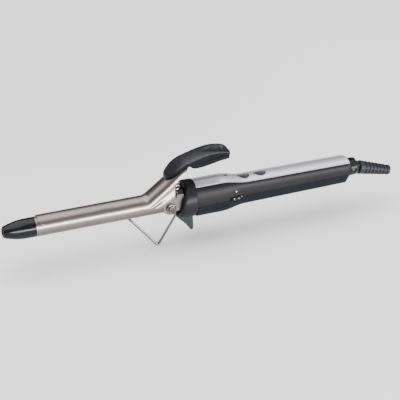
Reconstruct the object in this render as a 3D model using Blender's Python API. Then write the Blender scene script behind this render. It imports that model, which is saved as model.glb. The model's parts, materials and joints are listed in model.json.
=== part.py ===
"""Curling iron: titanium barrel with a spring clamp, a wire stand and a moulded handle.

Everything is drawn in millimetres in the iron's own frame: X runs along the barrel towards the
cord end and is zero at the clamp's pivot, Y is sideways, Z is up through the clamp's lever.
An empty then carries all the pieces so that the origin is the bottom centre of the bounding box.
"""
import math

import bmesh
import bpy
from mathutils import Matrix, Vector

MM = 0.001
GAP = 0.3                      # clearance between pieces that touch on the real iron

# barrel, cool tip and heater
BARREL_R = 9.5
BARREL_WALL = 1.0
BARREL_FRONT = -129.0
BARREL_REAR = 36.0
TIP_LENGTH = 29.6
TIP_STRAIGHT = 7.0             # length of the tip that keeps the barrel's diameter
TIP_CURVE = 0.0084             # drop in radius per square millimetre past the straight part
TIP_NOSE_ROUND = 1.2
TIP_PLUG_LENGTH = 9.0
HEATER_HALF_T = 1.2
HEATER_HALF_W = 6.2
HEATER_FRONT = BARREL_FRONT + 13.0
HEATER_REAR = -6.0
PROBE_R = 1.4
PROBE_LENGTH = 11.0

# clamp: one pressed sheet with spoon, upstand, ears and tongue
SHEET = 0.9
SPOON_R = BARREL_R + GAP + SHEET
SPOON_ARC = 62.0               # half angle of the spoon about the barrel's axis
SPOON_FRONT = -126.5
SPOON_NOSE = 7.0               # length over which the spoon's front corners are rounded
KINK_X = -20.5                 # where the spoon turns up to the lever
EAR_R = 7.4
BRACKET_T = 1.2
BRACKET_INNER_Y = BARREL_R + 0.8
EAR_INNER_Y = BRACKET_INNER_Y + BRACKET_T + GAP
LEVER_START = -2.0
WEB_AT_LEVER = 24.6            # height of the web where the lever grip starts
TONGUE_START = 21.0
TONGUE_END = 50.0
TONGUE_HALF_W = 6.5

# lever grip
LEVER_HALF_W = 10.0
LEVER_END = 61.6

# pivot
SCREW_R = 2.0
SCREW_HEAD_R = 3.2
SCREW_HEAD_T = 1.4
BRACKET_HALF_H = 5.0

# wire stand
WIRE_R = 1.2
STAND_FOOT = (-10.3, -3.2, -43.2)
STAND_END = (-37.5, -0.6)      # X and Y of the free end under the barrel

# collar and fin
COLLAR_R = 18.0
COLLAR_FRONT = 15.0
COLLAR_REAR = 26.0
COLLAR_WALL = 1.8
FIN_HALF_T = 3.0

# handle
HANDLE_END = 186.0
HANDLE_WALL = 1.8
FRONT_HALF_W = 16.0
FRONT_EDGE_Z = 14.2
FRONT_BOTTOM_Z = -15.7
GRIP_HALF_W = 12.8
GRIP_EDGE_Z = (10.5, 9.6)      # at the waist and at the end
GRIP_BOTTOM_Z = (-12.0, -10.4)
PARTING_FRONT_Z = -3.4
PARTING_GRIP_Z = -1.8
PARTING_REAR_Z = -0.8
BOTTOM_HALF_W = 9.0
STEP_START = 54.0
STEP_END = 80.0
CHAMFER_START = HANDLE_END - 4.5
REAR_WALL_X = HANDLE_END - 8.5            # inner face of the wall that holds the swivel
PANEL_HALF_W = 9.4
PANEL_CROWN = 2.6
PANEL_T = 1.2

# controls
LENS_X = 60.0
LENS_HALF = (1.5, 1.0)
BUTTON_X = {"on_button": 78.3, "off_button": 95.3}
BUTTON_R = 4.9
BUTTON_POINT = 7.2             # distance from the round's centre to the point
BUTTON_FIT = 0.35
BUTTON_SINK = 0.3              # top of a button below the panel's crown
BUTTON_HEIGHT = 3.4
DIAL_X = 65.5
DIAL_R = 10.0
DIAL_T = 4.4
DIAL_PROUD = 0.7
DIAL_RISE = -0.4               # middle of the thumbwheel from the parting line
AXLE_R = 1.5
BOARD_Z = 3.0
BOARD_T = 1.6
BOARD_X = (57.5, 128.0)
BOARD_HALF_W = 8.2
CASE_SCREW_X = (47.0, HANDLE_END - 49.0, HANDLE_END - 32.0)
CASE_SCREW_R = 1.3
CASE_SCREW_HEAD_R = 2.6
BOSS_R = 3.6

# swivel and cord guard
SWIVEL_X = HANDLE_END + 5.5
SWIVEL_Z = 0.8                 # the cord leaves a little above the barrel's axis
SWIVEL_R = 8.7
SWIVEL_NECK_R = 6.4
SWIVEL_FLANGE_R = 7.7
SWIVEL_STEM_R = 4.6
SWIVEL_PIN_R = 1.5
TONGUE_T = 3.1                 # half thickness of the guard's tongue
GUARD_DROP = 16.0              # degrees below the handle's axis
GUARD_START = 8.4
GUARD_LENGTH = 43.5
GUARD_R = (6.9, 4.7)
GUARD_BORE_R = 3.5
RIB_PITCH = 3.86
RIB_DEPTH = 0.8

PIECES = []


def clear_scene():
    for old in list(bpy.data.objects):
        bpy.data.objects.remove(old, do_unlink=True)


def material(name, color, roughness, metallic=0.0):
    made = bpy.data.materials.new(name)
    made.use_nodes = True
    shader = made.node_tree.nodes["Principled BSDF"]
    shader.inputs["Base Color"].default_value = (*color, 1.0)
    shader.inputs["Roughness"].default_value = roughness
    shader.inputs["Metallic"].default_value = metallic
    return made


def piece(name, bm, finish, sharp=35.0, guide=False):
    """Makes an object from a bmesh drawn in millimetres."""
    bmesh.ops.recalc_face_normals(bm, faces=bm.faces)
    bmesh.ops.scale(bm, vec=(MM, MM, MM), verts=bm.verts)
    mesh = bpy.data.meshes.new(name)
    bm.to_mesh(mesh)
    bm.free()
    mesh.shade_smooth()
    mesh.set_sharp_from_angle(angle=math.radians(sharp))
    obj = bpy.data.objects.new(name, mesh)
    bpy.context.scene.collection.objects.link(obj)
    if guide:
        obj.hide_render = True
        obj.display_type = 'WIRE'
    else:
        mesh.materials.append(finish)
    PIECES.append(obj)
    return obj


def boolean(target, other, operation):
    step = target.modifiers.new(operation.lower(), 'BOOLEAN')
    step.operation = operation
    step.solver = 'EXACT'
    step.object = other


def cutter(target, bm, operation='DIFFERENCE'):
    """Cuts a guide shape from a piece, or joins it on."""
    guide = piece(f"{target.name}_guide_{len(target.modifiers)}", bm, None, guide=True)
    boolean(target, guide, operation)
    return guide


def rotate(bm, angle, axis, centre=(0, 0, 0)):
    bmesh.ops.rotate(bm, cent=centre, matrix=Matrix.Rotation(angle, 3, axis), verts=bm.verts)


def turned(profile, steps=32, ring=False):
    """Turns (x, radius) points about X; a ring's profile closes on itself, others get flat ends."""
    bm = bmesh.new()
    chain = [bm.verts.new((x, 0, r)) for x, r in profile]
    edges = [bm.edges.new(pair) for pair in zip(chain, chain[1:])]
    if ring:
        edges.append(bm.edges.new((chain[-1], chain[0])))
    bmesh.ops.spin(bm, geom=chain + edges, cent=(0, 0, 0), axis=(1, 0, 0),
                   angle=math.tau, steps=steps, use_merge=True)
    bmesh.ops.holes_fill(bm, edges=[e for e in bm.edges if e.is_boundary])
    return bm


def aim(bm, start, direction):
    """Turns a shape drawn along X to a direction and moves it to its place."""
    turn = Vector((1, 0, 0)).rotation_difference(Vector(direction)).to_matrix()
    bmesh.ops.rotate(bm, cent=(0, 0, 0), matrix=turn, verts=bm.verts)
    bmesh.ops.translate(bm, vec=start, verts=bm.verts)
    return bm


def rod(start, end, radius, steps=20):
    """A plain cylinder between two points."""
    start, end = Vector(start), Vector(end)
    return aim(turned([(0, radius), ((end - start).length, radius)], steps), start, end - start)


def block(low, high):
    bm = bmesh.new()
    bmesh.ops.create_cube(bm, size=1.0)
    size = [b - a for a, b in zip(low, high)]
    middle = [(a + b) / 2 for a, b in zip(low, high)]
    bmesh.ops.scale(bm, vec=size, verts=bm.verts)
    bmesh.ops.translate(bm, vec=middle, verts=bm.verts)
    return bm


def plate(outline, start, end, normal):
    """Extrudes an outline: normal Y takes (x, z) points, normal Z takes (x, y) points."""
    bm = bmesh.new()
    if normal == 'Y':
        verts = [bm.verts.new((u, start, v)) for u, v in outline]
        step = (0, end - start, 0)
    else:
        verts = [bm.verts.new((u, v, start)) for u, v in outline]
        step = (0, 0, end - start)
    face = bm.faces.new(verts)
    grown = bmesh.ops.extrude_face_region(bm, geom=[face])
    moved = [v for v in grown["geom"] if isinstance(v, bmesh.types.BMVert)]
    bmesh.ops.translate(bm, vec=step, verts=moved)
    return bm


def loft(rings):
    """Joins closed rings of equal length and caps both ends."""
    bm = bmesh.new()
    rows = [[bm.verts.new(p) for p in ring] for ring in rings]
    for row, after in zip(rows, rows[1:]):
        for i in range(len(row)):
            j = (i + 1) % len(row)
            bm.faces.new((row[i], row[j], after[j], after[i]))
    bm.faces.new(list(reversed(rows[0])))
    bm.faces.new(rows[-1])
    return bm


def strip_loft(pairs):
    """Joins U-shaped sections, each an outer and an inner line of equal length."""
    bm = bmesh.new()
    rows = []
    for outer, inner in pairs:
        ring = [bm.verts.new(p) for p in outer] + [bm.verts.new(p) for p in reversed(inner)]
        rows.append(ring)
    for row, after in zip(rows, rows[1:]):
        for i in range(len(row)):
            j = (i + 1) % len(row)
            bm.faces.new((row[i], row[j], after[j], after[i]))
    count = len(rows[0]) // 2
    for row in (rows[0], rows[-1]):
        for i in range(count - 1):
            bm.faces.new((row[i], row[i + 1], row[-2 - i], row[-1 - i]))
    return bm


def arc(centre, radius, start, end, count):
    """Points on an arc in a plane, angles in degrees."""
    angles = [math.radians(start + (end - start) * i / (count - 1)) for i in range(count)]
    return [(centre[0] + radius * math.cos(a), centre[1] + radius * math.sin(a)) for a in angles]


def blend(x, start, end, low, high):
    """A smooth step from low to high between two stations."""
    t = min(max((x - start) / (end - start), 0.0), 1.0)
    return low + (high - low) * t * t * (3 - 2 * t)


def along(points, x):
    """Straight interpolation in a list of (x, value) points."""
    if x <= points[0][0]:
        return points[0][1]
    for (xa, a), (xb, b) in zip(points, points[1:]):
        if x <= xb:
            return a + (b - a) * (x - xa) / (xb - xa)
    return points[-1][1]


def resample(line, count):
    """Equally spaced points along a line of (u, v) points."""
    runs = [math.dist(a, b) for a, b in zip(line, line[1:])]
    total = sum(runs)
    result = []
    for i in range(count):
        left = total * i / (count - 1)
        for (a, b), run in zip(zip(line, line[1:]), runs):
            if left <= run + 1e-9:
                t = left / run if run else 0.0
                result.append((a[0] + (b[0] - a[0]) * t, a[1] + (b[1] - a[1]) * t))
                break
            left -= run
        else:
            result.append(line[-1])
    return result


# ---------------------------------------------------------------- barrel and heater

def make_barrel(finish):
    inner = BARREL_R - BARREL_WALL
    tube = [(BARREL_FRONT, inner), (BARREL_FRONT, BARREL_R), (BARREL_REAR, BARREL_R), (BARREL_REAR, inner)]
    piece("barrel_tube", turned(tube, 36, ring=True), finish["titanium"])

    shoulder = BARREL_FRONT - GAP
    bend = shoulder - TIP_STRAIGHT
    end = shoulder - TIP_LENGTH
    plug_r = inner - GAP
    profile = [(shoulder + TIP_PLUG_LENGTH, plug_r), (shoulder, plug_r),
               (shoulder, BARREL_R - 0.15), (shoulder - 0.15, BARREL_R), (bend, BARREL_R)]
    run = TIP_LENGTH - TIP_STRAIGHT - TIP_NOSE_ROUND
    for i in range(1, 8):
        s = run * i / 7
        profile.append((bend - s, BARREL_R - TIP_CURVE * s * s))
    nose_r = profile[-1][1] - TIP_NOSE_ROUND
    profile += [(end + 0.35, nose_r + 0.75), (end, nose_r)]
    piece("cool_tip", turned(profile, 24), finish["tip_plastic"])

    piece("heater_core", block((HEATER_FRONT, -HEATER_HALF_W, -HEATER_HALF_T),
                               (HEATER_REAR, HEATER_HALF_W, HEATER_HALF_T)), finish["ceramic"])
    shoe_r = inner - GAP
    flat = HEATER_HALF_T + GAP
    low = math.degrees(math.asin(flat / shoe_r))
    for name, side in (("heater_shoe_upper", 1), ("heater_shoe_lower", -1)):
        outline = [(y, side * z) for y, z in arc((0, 0), shoe_r, low, 180 - low, 15)]
        rings = [[(x, y, z) for y, z in outline] for x in (HEATER_FRONT, HEATER_REAR)]
        piece(name, loft(rings), finish["aluminium"])
    start = HEATER_REAR + 2 * GAP
    piece("temperature_probe", rod((start, 0, 0), (start + PROBE_LENGTH, 0, 0), PROBE_R, 12), finish["ceramic"])


# ---------------------------------------------------------------- clamp and lever

def web_height(x):
    """Height of the clamp sheet's crest: level, up the slope, then along the lever."""
    crest = [(KINK_X - 2.5, SPOON_R), (KINK_X, SPOON_R + 0.7), (LEVER_START, WEB_AT_LEVER),
             (14.0, 36.2), (TONGUE_START, 38.6), (TONGUE_END, 42.4)]
    return along(crest, x)


def cheek_foot(x):
    """Height of the sheet's lower edge: the spoon's edge, the ear, then the rear edge."""
    spoon_edge = SPOON_R * math.cos(math.radians(SPOON_ARC))
    if x < -EAR_R:
        return blend(x, -30.0, -EAR_R, spoon_edge, 1.0) if x > -30.0 else spoon_edge
    if x <= EAR_R * 0.97:
        return -math.sqrt(max(EAR_R ** 2 - x ** 2, 0.01))
    return along([(EAR_R * 0.97, 4.0), (7.8, 12.0), (9.8, 21.0), (16.4, 31.0), (TONGUE_START, 37.2)], x)


def sheet_section(x):
    """Outer and inner line of the clamp sheet across the barrel, as (y, z) points."""
    top = web_height(x)
    centre = top - SPOON_R
    foot = cheek_foot(x)
    if x < SPOON_FRONT + SPOON_NOSE:
        t = (x - SPOON_FRONT) / SPOON_NOSE
        foot = SPOON_R * math.cos(math.radians(SPOON_ARC * (0.45 + 0.55 * math.sqrt(max(t, 0.0)))))
    spread = blend(x, KINK_X - 6, -EAR_R - 1, 0.0, EAR_INNER_Y + SHEET - SPOON_R)
    lines = []
    slope = math.cos(math.atan2(web_height(x + 1) - web_height(x - 1), 2.0))
    for inset in (0.0, SHEET):
        radius = SPOON_R - inset
        drop = inset / slope - inset
        reach = min(90.0, math.degrees(math.acos(max(-1.0, min(1.0, (foot - centre) / SPOON_R)))))
        half = [(radius * math.sin(math.radians(a)), centre - drop + radius * math.cos(math.radians(a)))
                for a in (reach * i / 12 for i in range(13))]
        if foot < centre:
            low_y = radius + spread
            knee = min(centre - 1.0, max(foot + 0.5, BARREL_R + 3.5))
            if knee > foot + 0.6:
                half.append((low_y, knee))
            half.append((low_y, foot))
        line = [(-y, z) for y, z in reversed(half)] + half[1:]
        lines.append([(x, y, z) for y, z in resample(line, 19)])
    return lines


def make_clamp(finish):
    stations = [SPOON_FRONT + d for d in (0.0, 0.5, 2.0, SPOON_NOSE)]
    stations += [-30.0, KINK_X - 5.0, KINK_X - 2.5, KINK_X, -17.0, -13.5, -10.0]
    stations += [-EAR_R * math.cos(math.radians(a)) for a in (4, 20, 40, 65, 90, 115, 140, 162)]
    stations += [EAR_R * 0.97 + 0.05, 8.0, 9.3, 10.6, 14.0, 17.0, TONGUE_START]
    spoon = piece("clamp_spoon", strip_loft([sheet_section(x) for x in stations]), finish["titanium"], sharp=40)
    rings = []
    for x in (TONGUE_START - 2.5, TONGUE_START, 26.0, 34.0, 42.0, TONGUE_END):
        z = web_height(x)
        rings.append([(x, -TONGUE_HALF_W, z - SHEET), (x, TONGUE_HALF_W, z - SHEET),
                      (x, TONGUE_HALF_W, z), (x, -TONGUE_HALF_W, z)])
    cutter(spoon, loft(rings), 'UNION')
    hole_r = SCREW_R + GAP
    cutter(spoon, rod((0, -20, 0), (0, 20, 0), hole_r, 20))
    return spoon


def lever_section(x, low, high):
    """One closed (y, z) section of the lever grip, rounded at its top edges."""
    half = along([(LEVER_START, 3.2), (LEVER_START + 1.2, 5.2), (2.0, 7.6), (6.0, 9.4), (11.0, LEVER_HALF_W),
                  (LEVER_END - 5, LEVER_HALF_W), (LEVER_END - 1.0, 9.2), (LEVER_END, 8.4)], x)
    edge = min(1.6, (high - low) * 0.4)
    points = [(half - 0.8 * edge, low), (half, low + edge), (half, high - edge),
              (half - 0.35 * edge, high - 0.35 * edge), (half - edge, high)]
    crown = [(half * 0.45, high + 0.25), (0.0, high + 0.35)]
    right = points + crown
    left = [(-y, z) for y, z in reversed(right[:-1])]
    return [(x, y, z) for y, z in right + left]


LEVER_TOP = [(-2.0, 26.2), (-0.5, 28.8), (2.0, 32.2), (8.0, 37.2), (15.0, 41.2), (25.0, 43.9), (32.5, 46.0),
             (40.0, 47.4), (46.0, 47.9), (52.0, 47.4), (57.0, 46.6), (LEVER_END, 45.3)]
LEVER_UNDER = [(TONGUE_START - 1.5, 36.4), (24.0, 34.4), (29.0, 33.8), (38.0, 34.8), (50.7, 37.3),
               (LEVER_END, 38.4)]


def make_lever(finish):
    def parting(x):
        return web_height(x) + GAP

    stations = [LEVER_START, LEVER_START + 1.2, 2.0, 6.0, 11.0, 14.0, TONGUE_START, 26.0, 32.5, 40.0, 46.0,
                52.0, 57.0, LEVER_END - 1.0, LEVER_END]
    rings = [lever_section(x, parting(x), max(along(LEVER_TOP, x), parting(x) + 1.2)) for x in stations]
    cover = piece("lever_cover", loft(rings), finish["lever_plastic"])

    start = TONGUE_START + GAP
    stations = [start, 26.0, 29.0, 38.0, 44.0, 50.7, 56.0, LEVER_END - 1.0]
    rings = []
    for x in stations:
        half = along([(start, 7.6), (26.0, 9.2), (LEVER_END - 5, 9.4), (LEVER_END, 8.2)], x)
        low = along(LEVER_UNDER, x)
        high = parting(x) - GAP
        rings.append([(x, half, high), (x, half, low + 1.4), (x, half - 1.4, low), (x, -half + 1.4, low),
                      (x, -half, low + 1.4), (x, -half, high)])
    base = piece("lever_base", loft(rings), finish["lever_plastic"])
    rings = []
    for x in (start - 3, 26.0, 34.0, 42.0, TONGUE_END + GAP):
        z = web_height(x)
        half = TONGUE_HALF_W + GAP
        rings.append([(x, -half, z - SHEET - GAP), (x, half, z - SHEET - GAP),
                      (x, half, z + 1), (x, -half, z + 1)])
    cutter(base, loft(rings))
    for name, x in (("lever_rivet_front", 28.0), ("lever_rivet_rear", 44.0)):
        top = web_height(x) + 2.6
        under = along(LEVER_UNDER, x) + 0.8
        hole = 1.5 + GAP
        cutter(cover, rod((x, 0, under), (x, 0, top + GAP), hole, 14))
        step = [(0, 2.6 + GAP), (4.6 + GAP, 2.6 + GAP), (4.6 + GAP, hole), (14.0, hole)]
        cutter(base, aim(turned(step, 14), (x, 0, under - 3), (0, 0, 1)))
        cutter(bpy.data.objects["clamp_spoon"], rod((x, 0, under), (x, 0, top), hole, 14))
        head = [(0, 2.6), (1.6, 2.6), (1.6, 1.5), (top - under, 1.5)]
        bm = aim(turned(head, 14), (x, 0, under), (0, 0, 1))
        piece(name, bm, finish["steel"])


# ---------------------------------------------------------------- pivot, spring and stand

def make_pivot(finish):
    ring_r = COLLAR_R - COLLAR_WALL - 2.2
    ring_x = COLLAR_FRONT + 2.0 + GAP
    bore = BARREL_R + GAP
    ring = [(ring_x, bore), (ring_x, ring_r), (ring_x + BRACKET_T, ring_r), (ring_x + BRACKET_T, bore)]
    bracket = piece("pivot_bracket", turned(ring, 28, ring=True), finish["steel"])
    outline = [(ring_x + 0.6, -BRACKET_HALF_H)] + [(ring_x + 0.6, BRACKET_HALF_H), (13.2, BRACKET_HALF_H)]
    outline += [(13.2, BARREL_R + 2.1), (6.5, BARREL_R + 2.1), (5.5, BRACKET_HALF_H)]
    outline += arc((0, 0), BRACKET_HALF_H, 90, 270, 9)
    for side in (-1, 1):
        inner = side * BRACKET_INNER_Y
        cutter(bracket, plate(outline, inner, inner + side * BRACKET_T, 'Y'), 'UNION')
    bridge_y = BRACKET_INNER_Y + BRACKET_T / 2
    cutter(bracket, block((6.5, -bridge_y, BARREL_R + 0.9), (13.2, bridge_y, BARREL_R + 2.1)), 'UNION')
    cutter(bracket, rod((0, -20, 0), (0, 20, 0), SCREW_R + GAP, 20))

    ear_y = EAR_INNER_Y + SHEET
    near_head = ear_y + GAP + 2 * WIRE_R + GAP
    far_head = ear_y + GAP
    for name, side, head_y in (("pivot_screw_near", -1, near_head), ("pivot_screw_far", 1, far_head)):
        length = head_y - BRACKET_INNER_Y + 0.3
        profile = [(0, SCREW_HEAD_R - 0.4), (0.4, SCREW_HEAD_R), (SCREW_HEAD_T, SCREW_HEAD_R),
                   (SCREW_HEAD_T, SCREW_R), (SCREW_HEAD_T + length, SCREW_R)]
        bm = aim(turned(profile, 24), (0, side * (head_y + SCREW_HEAD_T), 0), (0, -side, 0))
        screw = piece(name, bm, finish["screw_steel"])
        top = side * (head_y + SCREW_HEAD_T)
        slot_low = min(top - side * 0.7, top + side)
        slot_high = max(top - side * 0.7, top + side)
        cutter(screw, block((-4, slot_low, -0.45), (4, slot_high, 0.45)))


def make_spring(finish):
    """A conical coil between the bracket's bridge and the underside of the lever's web."""
    centre_x = 9.6
    floor = BARREL_R + 2.1 + GAP + 0.55
    top = web_height(centre_x - 3.6) - SHEET * 1.5 - GAP - 1.0
    turns = 5
    points = []
    steps = turns * 9
    for i in range(steps + 1):
        t = i / steps
        angle = math.tau * turns * t
        radius = 3.6 - 0.8 * t
        flat = min(1.0, max(0.0, (t - 0.08) / 0.84))
        points.append((centre_x + radius * math.cos(angle), radius * math.sin(angle), floor + (top - floor) * flat))
    wire("clamp_spring", points, 0.5, finish["steel"], resolution=1)


def wire(name, points, radius, finish, resolution=2):
    """A round wire through points, as a closed tube."""
    curve = bpy.data.curves.new(name, 'CURVE')
    curve.dimensions = '3D'
    curve.bevel_depth = radius * MM
    curve.bevel_resolution = resolution
    curve.use_fill_caps = True
    spline = curve.splines.new('POLY')
    spline.points.add(len(points) - 1)
    for slot, point in zip(spline.points, points):
        slot.co = (*(c * MM for c in point), 1.0)
    curve.materials.append(finish)
    obj = bpy.data.objects.new(name, curve)
    bpy.context.scene.collection.objects.link(obj)
    PIECES.append(obj)
    return obj


def rounded(route, radius, steps=6):
    """Rounds the corners of a route of 3-D points."""
    route = [Vector(p) for p in route]
    result = [route[0]]
    for before, corner, after in zip(route, route[1:], route[2:]):
        reach = min(radius, (before - corner).length * 0.48, (after - corner).length * 0.48)
        start = corner + (before - corner).normalized() * reach
        end = corner + (after - corner).normalized() * reach
        for i in range(steps + 1):
            t = i / steps
            result.append(start * (1 - t) ** 2 + corner * 2 * t * (1 - t) + end * t ** 2)
    result.append(route[-1])
    return result


def make_stand(finish):
    eye_y = -(EAR_INNER_Y + SHEET + GAP + WIRE_R)
    eye_r = SCREW_R + GAP + WIRE_R
    eye = [(x, eye_y, z) for x, z in arc((0, 0), eye_r, 250, 0, 15)]
    hip = (eye_r + 0.1, eye_y, -EAR_R - 0.6)
    under = -(BARREL_R + WIRE_R + GAP)
    tail = [eye[-1], hip, STAND_FOOT, (STAND_END[0] + 2.2, STAND_END[1], under - 2.4), (*STAND_END, under)]
    wire("wire_stand", eye[:-1] + rounded(tail, 4.0), WIRE_R, finish["chrome"])


# ---------------------------------------------------------------- collar and fin

def make_collar(finish):
    rear = COLLAR_REAR
    front = COLLAR_FRONT
    bore = BARREL_R + GAP
    inner = COLLAR_R - COLLAR_WALL
    edge = [(x, r) for x, r in arc((front + 1.8, COLLAR_R - 1.8), 1.8, 180, 90, 5)]
    profile = [(front, bore), *edge, (rear - 0.6, COLLAR_R), (rear, COLLAR_R - 0.6), (rear, inner),
               (front + 2.0, inner), (front + 2.0, bore)]
    collar = piece("collar", turned(profile, 36, ring=True), finish["shell_plastic"])
    low = BRACKET_INNER_Y - GAP
    high = BRACKET_INNER_Y + BRACKET_T + GAP
    tall = BRACKET_HALF_H + GAP
    for side in (-1, 1):
        cutter(collar, block((front - 2, min(side * low, side * high), -tall),
                             (front + 4, max(side * low, side * high), tall)))

    foot = COLLAR_R + GAP
    fin_top = -(BARREL_R + 1.7)
    outline = [(7.6, fin_top), (8.4, fin_top - 3.4), (11.2, -19.4), (15.2, -23.4), (18.6, -27.0), (21.4, -31.2),
               (23.4, -33.6), (25.2, -33.6), (26.0, -31.8), (25.8, -26.0), (25.6, -foot), (13.8, -foot),
               (13.6, fin_top)]
    piece("collar_fin", plate(outline, -FIN_HALF_T, FIN_HALF_T, 'Y'), finish["fin_plastic"])

    seat = front + 2.0 + GAP + BRACKET_T + GAP
    flange = [(seat, bore), (seat, 13.2), (rear - GAP, 13.2), (rear - GAP, 10.9), (BARREL_REAR + 2, 10.9),
              (BARREL_REAR + 2, 7.0), (BARREL_REAR + GAP, 7.0), (BARREL_REAR + GAP, bore)]
    piece("barrel_insulator", turned(flange, 28, ring=True), finish["phenolic"])


# ---------------------------------------------------------------- handle

def handle_size(x):
    """Half width, parting, panel edge and bottom heights of the handle at a station."""
    half = blend(x, STEP_START, STEP_END, FRONT_HALF_W, GRIP_HALF_W)
    grip = [(STEP_END, 0), (HANDLE_END, 1)]
    edge = blend(x, STEP_START, STEP_END, FRONT_EDGE_Z, along([(a, GRIP_EDGE_Z[i]) for a, i in grip], x))
    floor = along([(a, GRIP_BOTTOM_Z[i]) for a, i in grip], x)
    bottom = blend(x, STEP_START - 2, STEP_END - 4, FRONT_BOTTOM_Z, floor)
    parting = along([(COLLAR_REAR, PARTING_FRONT_Z), (STEP_END, PARTING_GRIP_Z), (HANDLE_END, PARTING_REAR_Z)], x)
    if x > CHAMFER_START:
        t = (x - CHAMFER_START) / (HANDLE_END - CHAMFER_START)
        bottom += (parting - 0.8 - bottom) * t
        half -= 1.0 * t * t
    return half, parting, edge, bottom


def side_curve(start, end, count):
    """The handle's flank: leaves the parting line upright and rolls over to the panel's edge."""
    (ya, za), (yb, zb) = start, end
    p1 = (ya, za + 0.60 * (zb - za))
    p2 = (yb + 0.50 * (ya - yb), zb)
    line = []
    for i in range(count):
        t = i / (count - 1)
        weights = ((1 - t) ** 3, 3 * t * (1 - t) ** 2, 3 * t * t * (1 - t), t ** 3)
        line.append(tuple(sum(w * p[k] for w, p in zip(weights, (start, p1, p2, end))) for k in (0, 1)))
    return line


def crown_arc(half, edge, crown, count):
    return [(half - 2 * half * i / (count - 1),
             edge + crown * (1 - ((half - 2 * half * i / (count - 1)) / half) ** 2)) for i in range(count)]


def upper_ring(x):
    half, parting, edge, _ = handle_size(x)
    seat = PANEL_HALF_W + GAP
    side = side_curve((half, parting), (seat, edge), 8)
    crown = crown_arc(seat - 0.05, edge - PANEL_T - GAP, PANEL_CROWN, 9)
    right = side + crown[:5]
    left = [(-y, z) for y, z in reversed(right[:-1])]
    return [(x, y, z) for y, z in right + left]


def lower_ring(x):
    half, parting, _, bottom = handle_size(x)
    side = side_curve((half, parting - GAP), (BOTTOM_HALF_W, bottom), 8)
    line = side + [(-y, z) for y, z in reversed(side)]
    return [(x, y, z) for y, z in line]


def cavity_ring(x):
    half, parting, edge, bottom = handle_size(x)
    seat = PANEL_HALF_W + GAP
    roof = edge - PANEL_T - GAP - HANDLE_WALL
    up = side_curve((half - HANDLE_WALL, parting), (seat - 1.0, roof), 8)
    crown = crown_arc(seat - 1.0, roof, PANEL_CROWN, 9)[1:-1]
    floor = min(bottom + HANDLE_WALL, parting - 1.0)
    down = side_curve((half - HANDLE_WALL, parting), (BOTTOM_HALF_W - 0.8, floor), 8)[1:]
    top = up + crown[:4]
    line = list(reversed(down)) + top + [(-y, z) for y, z in reversed(top[:-1])] + [(-y, z) for y, z in down]
    return [(x, y, z) for y, z in line]


HANDLE_STATIONS = [(COLLAR_REAR + STEP_START) / 2, STEP_START] + [STEP_START + (STEP_END - STEP_START) * i / 6 for i in range(1, 7)]
HANDLE_STATIONS += [130.0, CHAMFER_START, (CHAMFER_START + HANDLE_END) / 2, HANDLE_END]


def panel_top(x):
    """Height of the panel's crown at a station."""
    return handle_size(x)[2] + PANEL_CROWN


def teardrop(x, grow=0.0):
    """A round with one point towards the barrel, as (x, y) points."""
    radius = BUTTON_R + grow
    point = BUTTON_POINT + grow * 1.3
    lean = math.degrees(math.acos(radius / point))
    return arc((x, 0), radius, 180 - lean, -(180 - lean), 17) + [(x - point, 0)]


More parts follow.
